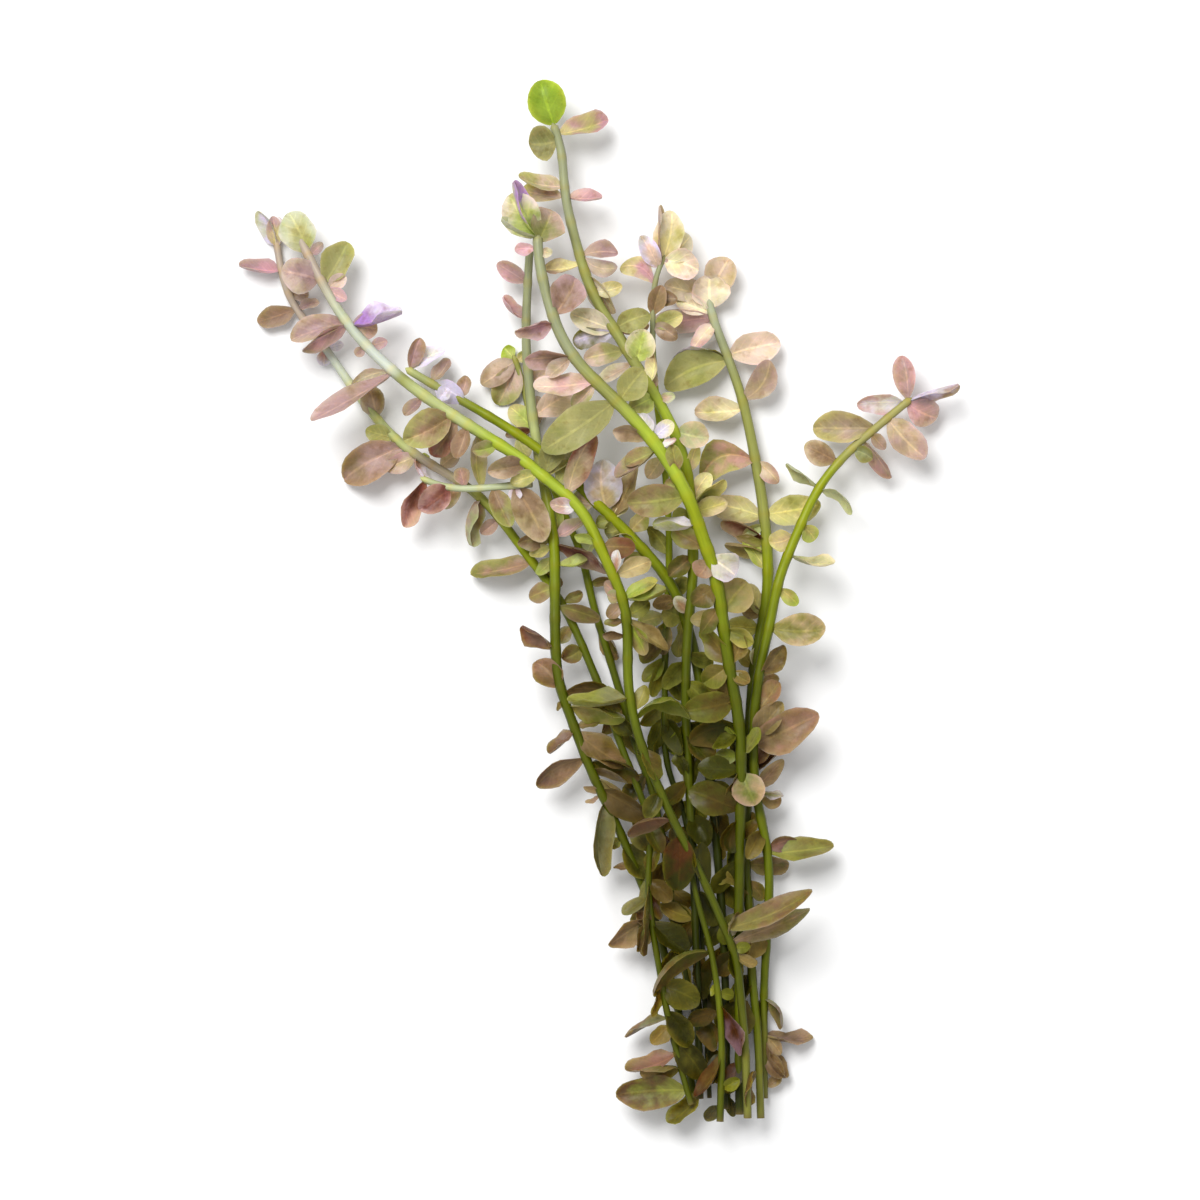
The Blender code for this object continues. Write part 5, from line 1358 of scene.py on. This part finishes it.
        (13, 0, 17.5, 4.5, 3, "DO"), (20, -60, 25, -66.5, 3.4, "DO"), (21.5, -90, 25.5, -97.5, 3.4, "DB"),
        (13.3, -6, 8.2, -12.5, 3.4, "BO"), (13, -12, 10.5, -19.5, 2.8, "OO"),
        (13, -20.5, 16, -24.5, 2.8, "OO"), (11, 67, 8, 72.8, 3.5, "TV"), (10.6, 54.5, 16.5, 57, 3.4, "OY"),
        (12.5, 68, 19.8, 66.3, 5.5, "CP"), (13.2, -11.5, 8.8, -16.5, 2.6, "LO"),
        (13, -21, 8, -25, 2.4, "OO"), (17, -40, 21.2, -44, 2.8, "LO"),
    )),
    Shoot("right_shoot", Slot.PALE, radius=1.15, stem_tones={
        62: "MINT", 52: "SAGE", 42: "OLIVE", 17: "OLIVE", 8: "GREEN", -1: "LEAF", -10: "MOSS", -60: "MOSS",
        -84: "LEAF", -100: "OLIVE",
    }, route=(
        (21.5, 62), (22, 57.5), (24, 53), (25.7, 48.8), (27.5, 43.5), (29, 39.3), (30.2, 33), (31.2, 28),
        (32.3, 22), (33, 17), (33.4, 12), (33.8, 7), (33.8, 2), (33, -3), (31, -12), (30, -25), (29.5, -42),
        (28.9, -53), (30, -60), (30.3, -75), (31.2, -82), (31.8, -90), (32.2, -103.8),
    ), heights={
        62: 3, 39: 3.6, 2: 3.6, -42: 3.2, -60: 3.6, -75: 5, -82: 5.6, -104: 5.8,
    }, leaves=(
        (21, 62, 26, 68.5, 6, "PT"), (22, 58, 22, 65.3, 7, "CP"), (21.5, 56.5, 10, 55, 4.5, "KP"),
        (21, 55, 18.3, 50.3, 3, "PK"), (26.5, 49.5, 36.2, 51.5, 6, "PP"),
        (25, 47.8, 12.8, 43.5, 6.8, "OO", -1), (30, 40, 34, 48, 5, "TM", -1.2),
        (28, 38, 19, 37.5, 4.5, "CP"), (30, 28.5, 20.5, 23.5, 6.5, "KO", -3),
        (31.8, 28, 35.8, 23.5, 3, "PK"), (32, 16.5, 22, 19.5, 5, "CP"), (34, 17.5, 44.3, 18.5, 5.5, "YO"),
        (33, 9, 25, 11, 2, "TT"), (35.5, 5.5, 29, 12.3, 3, "CL"), (32.2, 15, 28.5, 13.2, 2, "GT"),
        (30.2, -30, 25, -35.5, 3, "BD"), (29.2, -47, 25.5, -54, 3, "DL"), (30, -66, 26.3, -73, 3, "BO"),
        (21.5, 57.5, 15.5, 60.5, 3.8, "CP"), (30, -25, 26.5, -31, 3, "OD"), (29.5, -56, 33, -60, 2.6, "TO"),
        (30.3, -75, 26.5, -82, 3, "DO"), (32.5, 11.3, 27.3, 12.7, 2, "YT"),
        (31.8, -17.8, 35.8, -15.3, 2.4, "TS"), (31.5, -35.5, 35.5, -30.5, 2.2, "RB"),
        (33, -3.5, 29.7, 3.3, 3, "CP"), (32.5, -5.5, 25.5, -5, 3.5, "YY"), (29.5, -14, 31, -9.5, 1.8, "KW"),
        (30.5, -61, 28, -58, 1.8, "TP"), (28.7, -53, 38, -53, 3.6, "OT"), (30.2, -47, 30.5, -42.5, 2, "PT"),
        (21.3, 61, 13, 63.5, 4.5, "PT"), (33, 11.5, 24.3, 15.8, 2.8, "RM"), (31, -14, 27.6, -9.5, 2.6, "PT"),
        (25.2, 48.4, 14.6, 48, 2.8, "OV", -1), (33, -2.6, 28.4, -2.2, 2.4, "BM"),
    )),
    Shoot("back_left_shoot", Slot.OLIVE, radius=0.8, stem_tones={
        49: "OLIVE", 30: "OLIVE", 22: "GREEN", 8: "LEAF", -4: "MOSS", -60: "MOSS", -84: "DARK",
    }, route=(
        (-17.5, 49.5), (-15.5, 45), (-15, 41), (-14, 36), (-12.5, 30), (-7.5, 18), (-3, 8), (-2.5, 3),
        (-1, -2), (0, -6), (1.5, -10), (2.7, -14.5), (4.3, -19.5), (8, -32), (10.7, -38), (13, -50),
        (15, -65), (18.5, -80), (19.2, -84),
    ), heights={
        49: 1.3, 24: 1.4, 0: 2.6, -65: 2.6, -84: 2.2,
    }, leaves=(
        (-17.5, 48, -19.5, 50.5, 3, "LF"), (-16, 48, -14.5, 50, 2, "YL"), (-16.5, 48, -20, 39, 5.5, "TO"),
        (-19.5, 47, -24, 43.5, 4.5, "TB"), (-14, 34.5, -18, 39, 4, "LY"), (-13, 34, -12.5, 41, 3, "TP"),
        (-14, 34, -19, 33, 2, "RM"), (-14.5, 43.5, -8.5, 46.5, 3.5, "TP"), (4.5, -19.5, 0.5, -27, 3.2, "BO"),
        (9, -34.5, 5, -41, 3.2, "DB"), (12.5, -47, 16.5, -54, 3.4, "RB"), (14.5, -60, 18, -67, 3.2, "DO"),
        (-3, 8, -0.5, 14.5, 2.6, "GL"), (0, -5, 3.5, -12, 2.4, "DB"), (-7.5, 18, -11, 13, 3, "LY"),
        (11.5, -40, 7, -46, 3.2, "DB"), (16, -70, 12.5, -76, 3, "OD"), (-2.5, 3, 2.2, 4.2, 1.8, "OB"),
        (10.8, -38, 11.2, -28.5, 2.2, "DO"), (12.5, -47, 15.8, -40.5, 2.6, "TO"),
        (14.3, -58, 18.2, -61.5, 3, "TB"), (16.5, -73, 18, -77.5, 1.6, "CY"),
        (7.8, -32, 4.2, -25.5, 1.8, "OO"), (13.6, -52, 10.4, -57.8, 3, "BB"),
    )),
    Shoot("low_left_shoot", Slot.PALE, radius=0.9, height_axis=0, stem_tones={
        22: "MINT", 26: "PALE",
    }, route=(
        (-36, 24.5), (-34, 23), (-30, 22), (-24, 22.3), (-18, 22.8), (-13.6, 23.2),
    ), heights={
        -36: 8, -24: 9, -15: 11.5, -12.8: 12,
    }, leaves=(
        (-35.5, 23, -39, 14.5, 3.6, "RK"), (-30, 22.5, -36, 17.8, 5, "RK"), (-27, 22.5, -28, 26.5, 3, "KT"),
        (-24, 22.5, -24, 34, 3, "YP"), (-17.5, 24, -16.5, 20, 2.4, "KW"), (-17, 23, -10.7, 12, 6, "BT"),
        (-21.5, 22.5, -18, 14.5, 4, "BO"),
    )),
    Shoot("low_shoot", Slot.FRESH, radius=0.75, stem_tones={
        -50: "MOSS", -72: "MOSS", -80: "LEAF", -104: "MOSS",
    }, route=(
        (17.5, -50), (18.5, -56), (19.5, -60.5), (21.5, -67), (22.6, -71), (23.2, -76), (24, -81),
        (24.5, -90), (24.2, -97), (24, -104.3),
    ), heights={
        -50: 9, -67: 8.8, -104: 8.5,
    }, leaves=(
        (22.5, -70, 10.5, -79, 2, "GM", -2.7), (24, -78, 22, -77.8, 2, "LL"), (24, -78, 26.8, -79, 2, "LL"),
        (24, -81, 28, -91, 2.6, "RU"), (22.5, -82.5, 17.5, -84.5, 3, "BD"), (23, -91, 19, -99.5, 2, "MR"),
        (24.7, -98, 28, -96, 2.2, "LL"), (24, -101, 21, -104, 2.2, "NN"),
    )),
)


def main() -> None:
    """Builds every shoot and the studio."""
    logging.basicConfig(level=logging.INFO, format="%(message)s")
    form = BladeForm().build()
    paints = {slot: Paints.of_slot(slot) for slot in Slot}
    for seed, shoot in enumerate(SHOOTS):
        shoot.build(form, paints[shoot.slot], seed)
    bpy.data.objects.remove(form, do_unlink=True)
    Studio().build()


if __name__ == "__main__":
    main()
